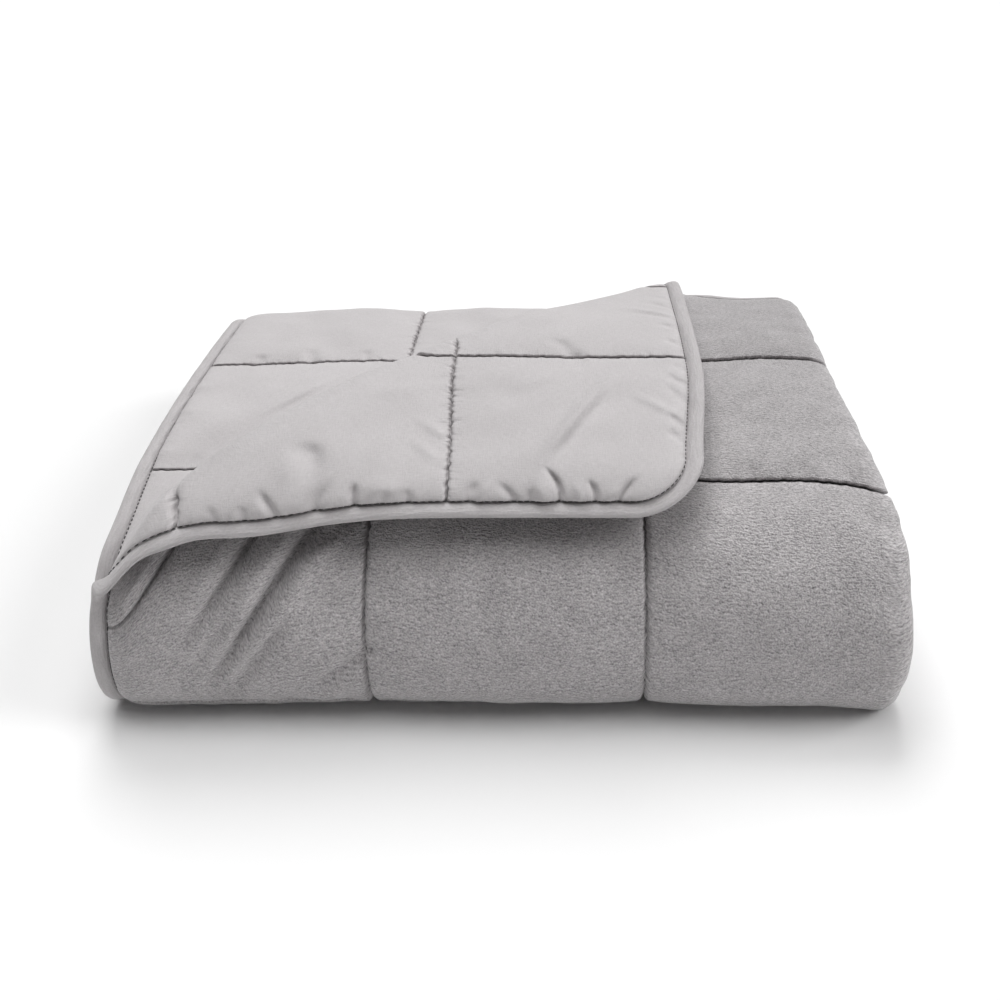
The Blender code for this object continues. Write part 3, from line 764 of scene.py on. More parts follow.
class Relief:
    """Height of one face of the quilt off its middle surface, at every flat point."""

    def __init__(self, form: FoldedForm, side: Side) -> None:
        """Draw the unevenness beside the seams from fixed seeds.

        Args:
            form: the folded form that the face belongs to.
            side: which of its faces.
        """
        self.form = form
        self.side = side
        self.sizes = ReliefSizes()
        self.creases = side.pick(CREASES)
        self.random = np.random.default_rng(side.pick(self.sizes.seeds))
        seams = len(form.seams_across) + len(form.seams_along)
        self.seam_waves = [self.waves() for _ in range(seams)]
        self.seam_pinches = [self.pinches() for _ in range(2 * seams)]
        self.lump_waves = self.random.uniform(-1.0, 1.0, (self.sizes.lump_count, 4))

    def waves(self) -> Array:
        """Draw the ripples beside one seam.

        Returns:
            Rows of their lengths, phases and strengths.
        """
        sizes = self.sizes
        count = sizes.ripple_count
        lengths = np.geomspace(*sizes.ripple_lengths, count)
        lengths = lengths * self.random.uniform(*sizes.ripple_spread, count)
        phases = self.random.uniform(0.0, 2.0 * math.pi, count)
        strengths = self.random.uniform(*sizes.ripple_strength, count) / math.sqrt(count)
        return np.stack([lengths, phases, strengths])

    def pinches(self) -> Array:
        """Draw the short pinches at uneven steps beside one side of a seam.

        Returns:
            Rows of their places along the seam, depths, slants and reaches.
        """
        sizes = self.sizes
        count = int(self.form.quilt.length / sizes.pinch_step[0])
        place = np.cumsum(self.random.uniform(*sizes.pinch_step, count))
        depth = self.random.uniform(*sizes.pinch_depth, count)
        slant = self.random.uniform(-sizes.pinch_slant, sizes.pinch_slant, count)
        reach = self.random.uniform(*sizes.pinch_reach, count)
        return np.stack([place, depth, slant, reach])

    def ripples(self, index: int, along: Array, off: Array) -> Array:
        """Add up the waves beside a seam, which die away from it, short ones soonest.

        Args:
            index: number of the seam.
            along: places along it.
            off: distances off it.

        Returns:
            Heights, from about -1 to 1.
        """
        total = np.zeros(along.shape)
        for length, phase, strength in self.seam_waves[index].T:
            wave = np.sin(2.0 * math.pi * along / length + phase)
            total = total + strength * wave * np.exp(-off / (self.sizes.ripple_reach * length))
        return total

    def pinched(self, index: int, along: Array, off: Array) -> Array:
        """Add up the short pinches beside a seam, each side with its own.

        Args:
            index: number of the seam.
            along: places along it.
            off: signed distances off it.

        Returns:
            Heights in metres, never above zero.
        """
        total = np.zeros(along.shape)
        gap = np.abs(off)
        for rows, here in (
            (self.seam_pinches[2 * index], off >= 0.0),
            (self.seam_pinches[2 * index + 1], off < 0.0),
        ):
            place, depth, slant, reach = rows
            after = np.clip(np.searchsorted(place, along), 1, len(place) - 1)
            for nearest in (after - 1, after):
                shift = along - place[nearest] - slant[nearest] * gap
                width = self.sizes.pinch_width + self.sizes.pinch_spread * gap
                across = (shift / width) ** 2
                pinch = depth[nearest] * np.exp(-across - gap / reach[nearest])
                total = total - np.where(here, pinch, 0.0)
        return total

    def puckers(self, u: Array, v: Array) -> Array:
        """Add up the unevenness beside every seam and cut edge.

        Args:
            u: places across the quilt.
            v: places along the quilt.

        Returns:
            Heights in metres.
        """
        sizes = self.sizes
        share = self.side.pick(sizes.pinch_share)
        total = np.zeros(u.shape)
        families = ((self.form.seams_across, u, v), (self.form.seams_along, v, u))
        index = 0
        for lines, across, along in families:
            for line in lines:
                cut_edge = line in (lines[0], lines[-1])
                wave = sizes.edge_ripple if cut_edge else sizes.ripple
                pinch = share * (sizes.edge_pinch if cut_edge else 1.0)
                off = across - line
                total = total + wave * self.ripples(index, along, np.abs(off))
                total = total + pinch * self.pinched(index, along, off)
                index += 1
        return total

    def lumps(self, u: Array, v: Array) -> Array:
        """Work out the broad unevenness of the filling.

        Args:
            u: places across the quilt.
            v: places along the quilt.

        Returns:
            Heights in metres.
        """
        sizes = self.sizes
        total = np.zeros(u.shape)
        for turn, phase, size, shape in self.lump_waves:
            length = sizes.lump_length + sizes.lump_length_spread * shape
            angle = math.pi * turn
            across = (u * math.cos(angle) + v * math.sin(angle)) / length
            total = total + size * np.sin(2.0 * math.pi * across + sizes.lump_phase * phase)
        return sizes.lump * total / math.sqrt(sizes.lump_count / 2.0)

    def crown(self, x: Array, lines: Array) -> Array:
        """Find how far a pocket has risen between its two seams.

        Args:
            x: places across the seams.
            lines: the seams.

        Returns:
            Shares from 0 at a seam to 1.
        """
        pocket = np.clip(np.searchsorted(lines, x, side="right") - 1, 0, len(lines) - 2)
        start = lines[pocket]
        t = np.clip((x - start) / (lines[pocket + 1] - start), 0.0, 1.0)
        return (1.0 - np.abs(2.0 * t - 1.0) ** self.sizes.squareness) ** self.sizes.fullness

    def wander(self, along: Array) -> Array:
        """Find how far a seam strays to one side along its run.

        Args:
            along: places along the seam.

        Returns:
            Distances in metres.
        """
        long_wave, short_wave = (
            np.sin(2.0 * math.pi * along / length) for length in self.sizes.wander_lengths
        )
        return self.sizes.seam_wander * (long_wave + self.sizes.wander_short_share * short_wave)

    def strayed(self, u: Array, v: Array) -> tuple[Array, Array]:
        """Move flat points sideways with the seams beside them, which stray as they run.

        Args:
            u: places across the quilt.
            v: places along the quilt.

        Returns:
            The new u and v.
        """
        form = self.form
        moved = []
        for across, along, lines in ((u, v, form.seams_across), (v, u, form.seams_along)):
            near = bell(seam_gap(across, lines), 0.0, self.sizes.wander_reach)
            moved.append(across + near * self.wander(along))
        return moved[0], moved[1]

    def seam_wall(self, across: Array, lines: Array) -> Array:
        """Find how far the cloth has risen beside a seam, steeply.

        Args:
            across: places across the seams.
            lines: the seams.

        Returns:
            Shares from 0 to 1.
        """
        share = seam_gap(across, lines) / self.side.pick(self.sizes.seam_reach)
        return 1.0 - np.exp(-(share**self.sizes.seam_power))

    def rim_wall(self, inset: Array) -> Array:
        """Find how far the cloth has risen beside the cut edge, steep at first and then round.

        Args:
            inset: distances inside the cut edge.

        Returns:
            Shares from 0 to 1.
        """
        sizes = self.sizes
        gap = np.maximum(inset - sizes.rim_inset, 0.0)
        steep = 1.0 - np.exp(-((gap / sizes.rim_reach[0]) ** sizes.rim_power))
        slow = 1.0 - np.exp(-gap / sizes.rim_reach[1])
        return sizes.rim_steep_share * steep + (1.0 - sizes.rim_steep_share) * slow

    def open_share(self, u: Array, v: Array) -> Array:
        """Tell where this side of the quilt lies open and where other layers press on it.

        Args:
            u: places across the quilt.
            v: places along the quilt.

        Returns:
            1 where nothing lies on it, and 0 under other layers.
        """
        form = self.form
        upper_leaf = u < form.quilt.width / 2
        if self.side is Side.PLUSH:
            bend = form.back_bend_start
            outer = 1.0 - ease(bend, bend + self.sizes.back_open, v)
            return np.where(upper_leaf, outer, 0.0)
        turned = ease(*self.sizes.turned_open, form.past_crease(u, v))
        uncovered = ease(*self.sizes.uncovered_open, form.past_crease(form.quilt.width - u, v))
        return np.where(upper_leaf, turned, uncovered)

    def half_thickness(self, u: Array, v: Array) -> Array:
        """Work out how far the cloth stands off the middle surface.

        Args:
            u: places across the quilt.
            v: places along the quilt.

        Returns:
            Heights in metres, always above zero.
        """
        sizes, form = self.sizes, self.form
        inset = form.inset(u, v)
        inward = ease(0.0, sizes.edge_taper, inset)
        floor = sizes.edge_half + (sizes.seam_half - sizes.edge_half) * inward
        clear = ease(0.0, sizes.rim_rise_reach, inset)
        if self.side is Side.PLUSH:
            swell = sizes.fold_swell * bell(u, form.half_fold_at, sizes.fold_swell_width) * clear
        else:
            off = bell(form.past_crease(u, v), sizes.fold_crest_at, sizes.fold_crest_width)
            swell = np.where(u < form.quilt.width / 2, sizes.fold_crest * off * clear, 0.0)
        floor = floor + swell
        open_share = self.open_share(u, v)
        rise = self.crown(u, form.seams_across) * self.crown(v, form.seams_along)
        seams = self.seam_wall(u, form.seams_across) * self.seam_wall(v, form.seams_along)
        wall = seams * self.rim_wall(inset)
        near_rim = np.exp(-inset / sizes.rim_rise_reach)
        opened = (sizes.wall_open + sizes.rim_rise * near_rim) * open_share
        body = floor + wall * (sizes.wall + opened)
        body = body + rise * (sizes.crown + sizes.crown_open * open_share)
        shown = sizes.hidden_share + (1.0 - sizes.hidden_share) * open_share
        detail = self.puckers(u, v) * wall + self.lumps(u, v) * rise
        for crease in self.creases:
            detail = detail + crease.relief(u, v) * wall
        return np.maximum(body + detail * shown, sizes.least_half)


# ------------------------------------------------------------------ meshes


def new_piece(
    name: str, points: Array, faces: list, material: bpy.types.Material
) -> bpy.types.Object:
    """Make a smooth-shaded object of these points and faces, linked to the scene.

    Args:
        name: the object's name.
        points: an (n, 3) array in metres.
        faces: lists of point numbers, counter-clockwise from outside.
        material: the finish of the whole piece.

    Returns:
        The new object, at the origin and unturned.
    """
    mesh = bpy.data.meshes.new(name)
    mesh.from_pydata(points.tolist(), [], faces)
    mesh.materials.append(material)
    mesh.shade_smooth()
    mesh.update()
    piece = bpy.data.objects.new(name, mesh)
    bpy.context.scene.collection.objects.link(piece)
    return piece


def add_uv(piece: bpy.types.Object, name: str, uv: Array) -> None:
    """Give a piece a UV map from one pair of numbers a point.

    Args:
        piece: the piece.
        name: the name of the map.
        uv: an (n, 2) array.
    """
    corners = np.empty(len(piece.data.loops), np.int32)
    piece.data.loops.foreach_get("vertex_index", corners)
    layer = piece.data.uv_layers.new(name=name)
    layer.data.foreach_set("uv", uv[corners].astype(np.float32).ravel())


@dataclass
class ClothFace:
    """One face of the quilt: a closed shell from the middle surface out to the cloth.

    The sizes from finest to coarse are the longest mesh edges wanted, and the bands are the
    distances from a seam, an edge or the turned corner's fold that they hold over.
    """

    form: FoldedForm
    side: Side
    material: bpy.types.Material
    finest: float = 0.0006
    seam_band: float = 0.0019
    near: float = 0.0014
    near_band: float = 0.0058
    edge_band: float = 0.012
    edge_fine: float = 0.0014
    crest_band: Point = (0.004, 0.021)
    crease_share: float = 0.55
    crease_reach: float = 2.0
    crease_fine: float = 0.0012
    fine: float = 0.0030
    middling: float = 0.0085
    coarse: float = 0.0100
    tuck: float = 0.0030
    inner_half: float = 0.0003
    seam_steps: tuple[float, ...] = (0.0016, 0.0038, 0.0075)
    bend_gap: float = 0.0012
    half_fold_margin: float = 0.004
    half_fold_lines: int = 11
    front_lines: int = 9
    back_lines: int = 17
    woven_shown: float = -0.024
    plush_shown_past: Point = (0.010, 0.045)
    under_corner: Point = (0.215, 0.285)
    slack: float = 1.45
    passes: int = 4

    def lines(self, seams: Array, bends: list[float]) -> list[float]:
        """Place the mesh lines across one direction, close by the seams and even between them.

        Args:
            seams: the seams and the two cut edges.
            bends: further lines that bends of the cloth call for.

        Returns:
            The lines in order.
        """
        lines = [*seams, seams[0] - self.tuck, seams[-1] + self.tuck]
        for seam in seams:
            for step in self.seam_steps:
                lines += [seam + step, seam - step]
        lines = [x for x in lines if seams[0] - self.tuck <= x <= seams[-1] + self.tuck]
        for bend in bends:
            if min(abs(bend - x) for x in lines) > self.bend_gap:
                lines.append(bend)
        lines.sort()
        filled = []
        for low, high in zip(lines[:-1], lines[1:]):
            count = max(1, round((high - low) / self.coarse))
            filled += [low + (high - low) * i / count for i in range(count)]
        return [*filled, lines[-1]]

    def base_grid(self) -> bmesh.types.BMesh:
        """Lay the flat sheet before the parts that show are made finer.

        Returns:
            The sheet, with u and v as its x and y.
        """
        form = self.form
        middle, front, back = form.half_fold_at, form.folds.front_line, form.back_bend_start
        reach = math.pi * form.quilt.ply / 4 + self.half_fold_margin
        across = np.linspace(middle - reach, middle + reach, self.half_fold_lines)
        along = [
            *np.linspace(front, front + form.lower_arc, self.front_lines),
            *np.linspace(back, back + form.back_bend_arc, self.back_lines),
        ]
        u_lines = self.lines(form.seams_across, list(across))
        v_lines = self.lines(form.seams_along, along)
        sheet = bmesh.new()
        rows = [[sheet.verts.new((u, v, 0.0)) for u in u_lines] for v in v_lines]
        for low, high in zip(rows[:-1], rows[1:]):
            for i in range(len(u_lines) - 1):
                sheet.faces.new((low[i], low[i + 1], high[i + 1], high[i]))
        return sheet

    def target(self, u: Array, v: Array) -> Array:
        """Choose the longest mesh edge at flat points, short where the cloth shows.

        Args:
            u: places across the quilt.
            v: places along the quilt.

        Returns:
            Lengths in metres.
        """
        form = self.form
        width = form.quilt.width
        crest = np.zeros(u.shape, bool)
        if self.side is Side.WOVEN:
            mirrored = np.where(u < width / 2, u, width - u)
            past = form.past_crease(mirrored, v)
            shows = past > self.woven_shown
            crest = (past > self.crest_band[0]) & (past < self.crest_band[1]) & (u < width / 2)
        else:
            past_u, past_v = self.plush_shown_past
            shows = (u < width / 2 + past_u) & (v < form.folds.front_line + past_v)
            shows &= form.past_crease(u, v) < 0.0
            shows &= (u > self.under_corner[0]) | (v > self.under_corner[1])
        size = np.where(shows, self.fine, self.coarse)
        gap = np.minimum(seam_gap(u, form.seams_across), seam_gap(v, form.seams_along))
        size = np.where(shows & (gap < self.near_band), self.near, size)
        size = np.where(shows & (gap < self.seam_band), self.finest, size)
        if self.side is Side.PLUSH:
            outer = v < form.back_bend_start + form.back_bend_arc
            size = np.where(outer, np.minimum(size, self.middling), size)
        size = np.where(crest, np.minimum(size, self.near), size)
        edge = form.inset(u, v)
        size = np.where(edge < self.edge_band, np.minimum(size, self.middling), size)
        size = np.where(shows & (edge < self.edge_band), np.minimum(size, self.edge_fine), size)
        for crease in self.side.pick(CREASES):
            wanted = max(self.crease_share * crease.width, self.crease_fine)
            close = crease.locate(u, v)[0] < self.crease_reach * crease.width
            size = np.where(shows & close, np.minimum(size, wanted), size)
        return size

    def refine(self, sheet: bmesh.types.BMesh) -> None:
        """Halve the inner edges that are longer than the cloth there calls for.

        Args:
            sheet: the flat sheet, which is changed.
        """
        for _ in range(self.passes):
            edges = [edge for edge in sheet.edges if not edge.is_boundary]
            ends = np.array([[vert.co[:2] for vert in edge.verts] for edge in edges])
            length = np.hypot(*(ends[:, 0] - ends[:, 1]).T)
            middle = ends.mean(axis=1)
            chosen = length > self.slack * self.target(middle[:, 0], middle[:, 1])
            long_edges = [edge for edge, long in zip(edges, chosen) if long]
            bmesh.ops.subdivide_edges(sheet, edges=long_edges, cuts=1, use_grid_fill=True)

    def shell(self) -> tuple[Array, list, Array]:
        """Fold the cloth and the middle surface behind it, and close them along the cut edge.

        Returns:
            Points, faces and flat places of the closed shell.
        """
        outer, inner = self.base_grid(), self.base_grid()
        self.refine(outer)
        bmesh.ops.triangulate(outer, faces=[f for f in outer.faces if len(f.verts) > 4])
        parts = []
        for sheet in (outer, inner):
            sheet.verts.index_update()
            flat = np.array([vert.co[:2] for vert in sheet.verts])
            faces = [[vert.index for vert in face.verts] for face in sheet.faces]
            parts.append((flat, faces, self.rim(sheet)))
            sheet.free()
        (flat_out, faces_out, rim_out), (flat_in, faces_in, rim_in) = parts
        sign = float(self.side.value)
        relief = Relief(self.form, self.side)
        u_out, v_out = self.form.rounded(*flat_out.T)
        u_in, v_in = self.form.rounded(*flat_in.T)
        half = sign * relief.half_thickness(u_out, v_out)
        top = self.form.place(*relief.strayed(u_out, v_out), half)
        under = self.form.place(u_in, v_in, np.full(len(u_in), sign * self.inner_half))
        count = len(top)
        if self.side is Side.PLUSH:
            faces_out = [face[::-1] for face in faces_out]
        else:
            faces_in = [face[::-1] for face in faces_in]
        faces = faces_out + [[count + i for i in face] for face in faces_in]
        next_out, next_in = rim_out[1:] + rim_out[:1], rim_in[1:] + rim_in[:1]
        for i, j, k, m in zip(rim_out, next_out, rim_in, next_in):
            wall = [i, j, count + m, count + k]
            faces.append(wall if self.side is Side.PLUSH else wall[::-1])
        flat = np.concatenate([np.stack([u_out, v_out], 1), np.stack([u_in, v_in], 1)])
        return np.concatenate([top, under]), faces, flat

    @staticmethod
    def rim(sheet: bmesh.types.BMesh) -> list[int]:
        """Follow the sheet's rim, from the point of lowest u + v.

        Args:
            sheet: the flat sheet.

        Returns:
            Numbers of the rim's points in order.
        """
        ahead = {}
        first, least = -1, math.inf
        for edge in sheet.edges:
            if edge.is_boundary:
                loop = edge.link_loops[0]
                ahead[loop.vert.index] = loop.link_loop_next.vert.index
                reach = loop.vert.co.x + loop.vert.co.y
                if reach < least:
                    first, least = loop.vert.index, reach
        ring = [first]
        while ahead[ring[-1]] != first:
            ring.append(ahead[ring[-1]])
        return ring

    def build(self, name: str) -> bpy.types.Object:
        """Make the face's object, with its flat places in metres as its UV map.

        Args:
            name: the name of the piece.

        Returns:
            The new object.
        """
        points, faces, flat = self.shell()
        piece = new_piece(name, points, faces, self.material)
        add_uv(piece, "flat", flat)
        return piece


@dataclass
class BoundEdge:
    """The strip sewn round the cut edge, as a soft tube."""

    form: FoldedForm
    material: bpy.types.Material
    gap: float = -0.0010
    half_width: float = 0.0051
    half_height: float = 0.0042
    sides: int = 16
    spacing: float = 0.0026
    wobble: float = 0.06
    squareness: float = 2.15
    tip_thin: float = 0.16
    tip_width: float = 0.018
    swell_cycles: tuple[int, ...] = (37, 61, 98, 149, 233)
    swell_strength: Point = (0.4, 1.0)
    swell_phase: Point = (0.0, 6.28)
    swell_peak: float = 2.2
    seed: int = 5

    def rim_path(self, inset: float, spacing: float) -> tuple[Array, Array, Array, Array, Array]:
        """Place even points round the cut edge.

        Args:
            inset: distance of the points inside the cut edge.
            spacing: step between them.

        Returns:
            u and v of the points, the way out in u and in v, and the run so far.
        """
        quilt = self.form.quilt
        radius = quilt.corner_radius
        low, far_u, far_v = radius, quilt.width - radius, quilt.length - radius
        lengths = (quilt.width - 2 * radius, quilt.length - 2 * radius)
        sides = (
            ((low, low), (far_u, low), (0.0, -1.0)),
            ((far_u, low), (far_u, far_v), (1.0, 0.0)),
            ((far_u, far_v), (low, far_v), (0.0, 1.0)),
            ((low, far_v), (low, low), (-1.0, 0.0)),
        )
        rows = []
        bends = round(math.pi / 2 * radius / spacing)
        for turn, (start, end, out) in enumerate(sides):
            count = round(lengths[turn % 2] / spacing)
            for share in np.arange(count) / count:
                rows.append((*(a + (b - a) * share for a, b in zip(start, end)), *out))
            first = math.atan2(out[1], out[0])
            for i in range(bends):
                angle = first + math.pi / 2 * i / bends
                rows.append((*end, math.cos(angle), math.sin(angle)))
        centre_u, centre_v, out_u, out_v = np.array(rows).T
        u = centre_u + out_u * (radius - inset)
        v = centre_v + out_v * (radius - inset)
        step = np.hypot(np.roll(u, -1) - u, np.roll(v, -1) - v)
        return u, v, out_u, out_v, np.concatenate([[0.0], np.cumsum(step)[:-1]])

    def uneven(self, run: Array, total: float) -> Array:
        """Let the strip swell and thin gently, and close on itself.

        Args:
            run: places along the strip.
            total: the length of the strip.

        Returns:
            Heights, as shares of the strip's own.
        """
        random = np.random.default_rng(self.seed)
        wave = np.zeros(len(run))
        for cycles in self.swell_cycles:
            strength = random.uniform(*self.swell_strength)
            phase = random.uniform(*self.swell_phase)
            wave += strength * np.sin(2.0 * math.pi * cycles * run / total + phase)
        return 1.0 + self.wobble * wave / self.swell_peak

    def thinning(self, u: Array, v: Array) -> Array:
        """How much the strip flattens where the turned corner's crease crosses it."""
        thinned = self.tip_thin * bell(self.form.past_crease(u, v), 0.0, self.tip_width)
        return 1.0 - np.where(u < self.form.quilt.width / 2, thinned, 0.0)

    def build(self, name: str) -> bpy.types.Object:
        """Make the tube, with its run and its turn as its UV map.

        Args:
            name: the name of the piece.

        Returns:
            The new object.
        """
        u, v, out_u, out_v, run = self.rim_path(0.0, self.spacing)
        total = float(run[-1]) + self.spacing
        swell = self.uneven(run, total) * self.thinning(u, v)
        rings = []
        for side in range(self.sides):
            angle = 2.0 * math.pi * side / self.sides
            across = math.cos(angle)
            power = self.squareness
            square = (abs(across) ** power + abs(math.sin(angle)) ** power) ** (-1 / power)
            out = self.gap + self.half_width * (1.0 + square * across) * self.thinning(u, v)
            w = self.half_height * square * math.sin(angle) * swell
            rings.append(self.form.place(u + out_u * out, v + out_v * out, w))
        count = len(u)
        run = [*run, total]
        turn = 2.0 * math.pi * self.half_width / self.sides
        faces, corners = [], []
        for side in range(self.sides):
            here, above = side * count, (side + 1) % self.sides * count
            for i in range(count):
                ahead = (i + 1) % count
                faces.append([here + ahead, here + i, above + i, above + ahead])
                low, high = turn * side, turn * (side + 1)
                corners += [(run[i + 1], low), (run[i], low), (run[i], high), (run[i + 1], high)]
        piece = new_piece(name, np.concatenate(rings), faces, self.material)
        layer = piece.data.uv_layers.new(name="flat")
        layer.data.foreach_set("uv", np.array(corners, np.float32).ravel())
        return piece


# ------------------------------------------------------------------ stitches


class NodeTree:
    """Adds nodes to a shader or geometry tree by type, settings and inputs."""

    def __init__(self, tree: bpy.types.NodeTree) -> None:
        """Take the tree that the nodes go into."""
        self.tree = tree

    def add(
        self, kind: str, settings: dict | None = None, inputs: dict | None = None
    ) -> bpy.types.Node:
        """Add one node.

        Args:
            kind: the node's type name.
            settings: its own properties, set before its inputs.
            inputs: values or output sockets, by the input's name or number.

        Returns:
            The new node.
        """
        node = self.tree.nodes.new(kind)
        for key, value in (settings or {}).items():
            setattr(node, key, value)
        for key, value in (inputs or {}).items():
            socket = node.inputs[key]
            source = value.socket if isinstance(value, Value) else value
            if isinstance(source, bpy.types.NodeSocket):
                self.tree.links.new(source, socket)
            else:
                socket.default_value = source
        return node


class Value:
    """A number in a shader tree that takes part in Python arithmetic."""

    def __init__(self, nodes: NodeTree, socket: bpy.types.NodeSocket) -> None:
        """Wrap an output socket."""
        self.nodes = nodes
        self.socket = socket

    def _math(self, operation: str, *operands: "Value | float") -> "Value":
        """Add a Math node.

        Args:
            operation: what it does.
            operands: numbers or values, in order.

        Returns:
            The node's result.
        """
        node = self.nodes.add(
            "ShaderNodeMath", {"operation": operation}, dict(enumerate(operands))
        )
        return Value(self.nodes, node.outputs[0])

    def __add__(self, other: "Value | float") -> "Value":
        """self + other."""
        return self._math("ADD", self, other)

    def __radd__(self, other: float) -> "Value":
        """other + self."""
        return self._math("ADD", other, self)

    def __sub__(self, other: "Value | float") -> "Value":
        """self - other."""
        return self._math("SUBTRACT", self, other)

    def __rsub__(self, other: float) -> "Value":
        """other - self."""
        return self._math("SUBTRACT", other, self)

    def __mul__(self, other: "Value | float") -> "Value":
        """self * other."""
        return self._math("MULTIPLY", self, other)

    def __rmul__(self, other: float) -> "Value":
        """other * self."""
        return self._math("MULTIPLY", other, self)

    def wave(self, length: float) -> "Value":
        """A sine of this number with the given length, from -1 to 1."""
        return self._math("SINE", self * (2.0 * math.pi / length))

    def positive(self) -> "Value":
        """This number, or 0 where it is below 0."""
        return self._math("MAXIMUM", self, 0.0)

    def lesser(self, other: "Value") -> "Value":
        """The lesser of two numbers."""
        return self._math("MINIMUM", self, other)

    def to_nearest(self, step: float) -> "Value":
        """Distance of this number to the nearest whole multiple of step."""
        return self._math("PINGPONG", self, step / 2)

    def near(self, reach: float) -> "Value":
        """1 where this distance is 0, falling to 0 at reach."""
        share = (1.0 - self * (1.0 / reach)).positive()
        return share * share


@dataclass
class StitchRows:
    """Rows of thread laid along the seams, one small bead of thread a stitch."""

    form: FoldedForm
    material: bpy.types.Material
    pitch: float = 0.0039
    length: float = 0.0030
    radius: float = 0.00042
    slant: float = 0.12
    bead_sides: int = 6
    bead_rings: int = 4
    sink: float = 0.0001
    binding_inset: float = 0.0014

    def tree(self) -> bpy.types.GeometryNodeTree:
        """Build the tree that lays a stitch at every point along the input's edges.

        Returns:
            The tree, with the stitch's sizes, seed and material as named inputs.
        """
        tree = bpy.data.node_groups.new("stitch_rows", "GeometryNodeTree")
        face = tree.interface
        face.new_socket("Geometry", in_out="INPUT", socket_type="NodeSocketGeometry")
        for name in ("Stitch Length", "Thread Radius", "Slant"):
            face.new_socket(name, in_out="INPUT", socket_type="NodeSocketFloat")
        face.new_socket("Seed", in_out="INPUT", socket_type="NodeSocketInt")
        face.new_socket("Thread", in_out="INPUT", socket_type="NodeSocketMaterial")
        face.new_socket("Geometry", in_out="OUTPUT", socket_type="NodeSocketGeometry")
        nodes = NodeTree(tree)
        given = nodes.add("NodeGroupInput").outputs
        curve = nodes.add("GeometryNodeMeshToCurve", inputs={"Mesh": given["Geometry"]})
        bead = nodes.add(
            "GeometryNodeMeshUVSphere",
            inputs={"Segments": self.bead_sides, "Rings": self.bead_rings, "Radius": 0.5},
        )
        girth = nodes.add(
            "ShaderNodeMath", {"operation": "MULTIPLY"}, {0: given["Thread Radius"], 1: 2.0}
        )
        size = nodes.add(
            "ShaderNodeCombineXYZ",
            inputs={"X": girth.outputs[0], "Y": girth.outputs[0], "Z": given["Stitch Length"]},
        )
        tangent = nodes.add("GeometryNodeInputTangent")
        straight = nodes.add(
            "FunctionNodeAlignRotationToVector", {"axis": "Z"}, {"Vector": tangent.outputs[0]}
        )
        least = nodes.add(
            "ShaderNodeMath", {"operation": "MULTIPLY"}, {0: given["Slant"], 1: -1.0}
        )
        lean = nodes.add(
            "FunctionNodeRandomValue",
            {"data_type": "FLOAT"},
            {"Min": least.outputs[0], "Max": given["Slant"], "Seed": given["Seed"]},
        )
        tilt = nodes.add("ShaderNodeCombineXYZ", inputs={"X": lean.outputs["Value"]})
        turned = nodes.add(
            "FunctionNodeRotateRotation",
            {"rotation_space": "LOCAL"},
            {"Rotation": straight.outputs[0], "Rotate By": tilt.outputs[0]},
        )
        laid = nodes.add(
            "GeometryNodeInstanceOnPoints",
            inputs={
                "Points": curve.outputs[0],
                "Instance": bead.outputs["Mesh"],
                "Rotation": turned.outputs[0],
                "Scale": size.outputs[0],
            },
        )
        real = nodes.add("GeometryNodeRealizeInstances", inputs={0: laid.outputs[0]})
        smooth = nodes.add("GeometryNodeSetShadeSmooth", inputs={0: real.outputs[0]})
        dressed = nodes.add(
            "GeometryNodeSetMaterial",
            inputs={"Geometry": smooth.outputs[0], "Material": given["Thread"]},
        )
        nodes.add("NodeGroupOutput", inputs={"Geometry": dressed.outputs[0]})
        return tree

    def build(self, name: str, rows: list[Array], seed: int) -> bpy.types.Object:
        """Lay stitches along rows of points.

        Args:
            name: the piece's name.
            rows: for each row, an (n, 3) array with the middle of every stitch.
            seed: seed of the stitches' slant.

        Returns:
            A plain mesh object that holds every stitch.
        """
        guide = bpy.data.meshes.new(name + "_rows")
        edges, start = [], 0
        for row in rows:
            edges += [(start + i, start + i + 1) for i in range(len(row) - 1)]
            start += len(row)
        guide.from_pydata(np.concatenate(rows).tolist(), edges, [])
        carrier = bpy.data.objects.new(name + "_rows", guide)
        bpy.context.scene.collection.objects.link(carrier)
        modifier = carrier.modifiers.new("stitches", "NODES")
        tree = self.tree()
        modifier.node_group = tree
        values = {
            "Stitch Length": self.length,
            "Thread Radius": self.radius,
            "Slant": self.slant,
            "Seed": seed,
            "Thread": self.material,
        }
        for item in tree.interface.items_tree:
            if item.in_out == "INPUT" and item.name in values:
                modifier[item.identifier] = values[item.name]
        graph = bpy.context.evaluated_depsgraph_get()
        mesh = bpy.data.meshes.new_from_object(carrier.evaluated_get(graph))
        bpy.data.objects.remove(carrier, do_unlink=True)
        bpy.data.meshes.remove(guide)
        bpy.data.node_groups.remove(tree)
        mesh.name = name
        piece = bpy.data.objects.new(name, mesh)
        bpy.context.scene.collection.objects.link(piece)
        return piece

    def quilting(self, side: Side) -> list[Array]:
        """Lay out rows along every quilting seam on one side, a little below the cloth there.

        Args:
            side: the side of the quilt.

        Returns:
            For each row, the middle of every stitch.
        """
        form, relief = self.form, Relief(self.form, side)
        rows = []
        families = ((form.seams_across, form.seams_along), (form.seams_along, form.seams_across))
        for lines, ends in families:
            count = int((ends[-1] - ends[0]) / self.pitch)
            run = (np.arange(count) + 0.5) * self.pitch
            for line in lines[1:-1]:
                across = np.full(count, line)
                u, v = (across, run) if lines is form.seams_across else (run, across)
                half = relief.half_thickness(u, v) - self.sink
                row = form.place(*relief.strayed(u, v), side.value * half)
                rows.append(self.clear_of_floor(row))
        return rows

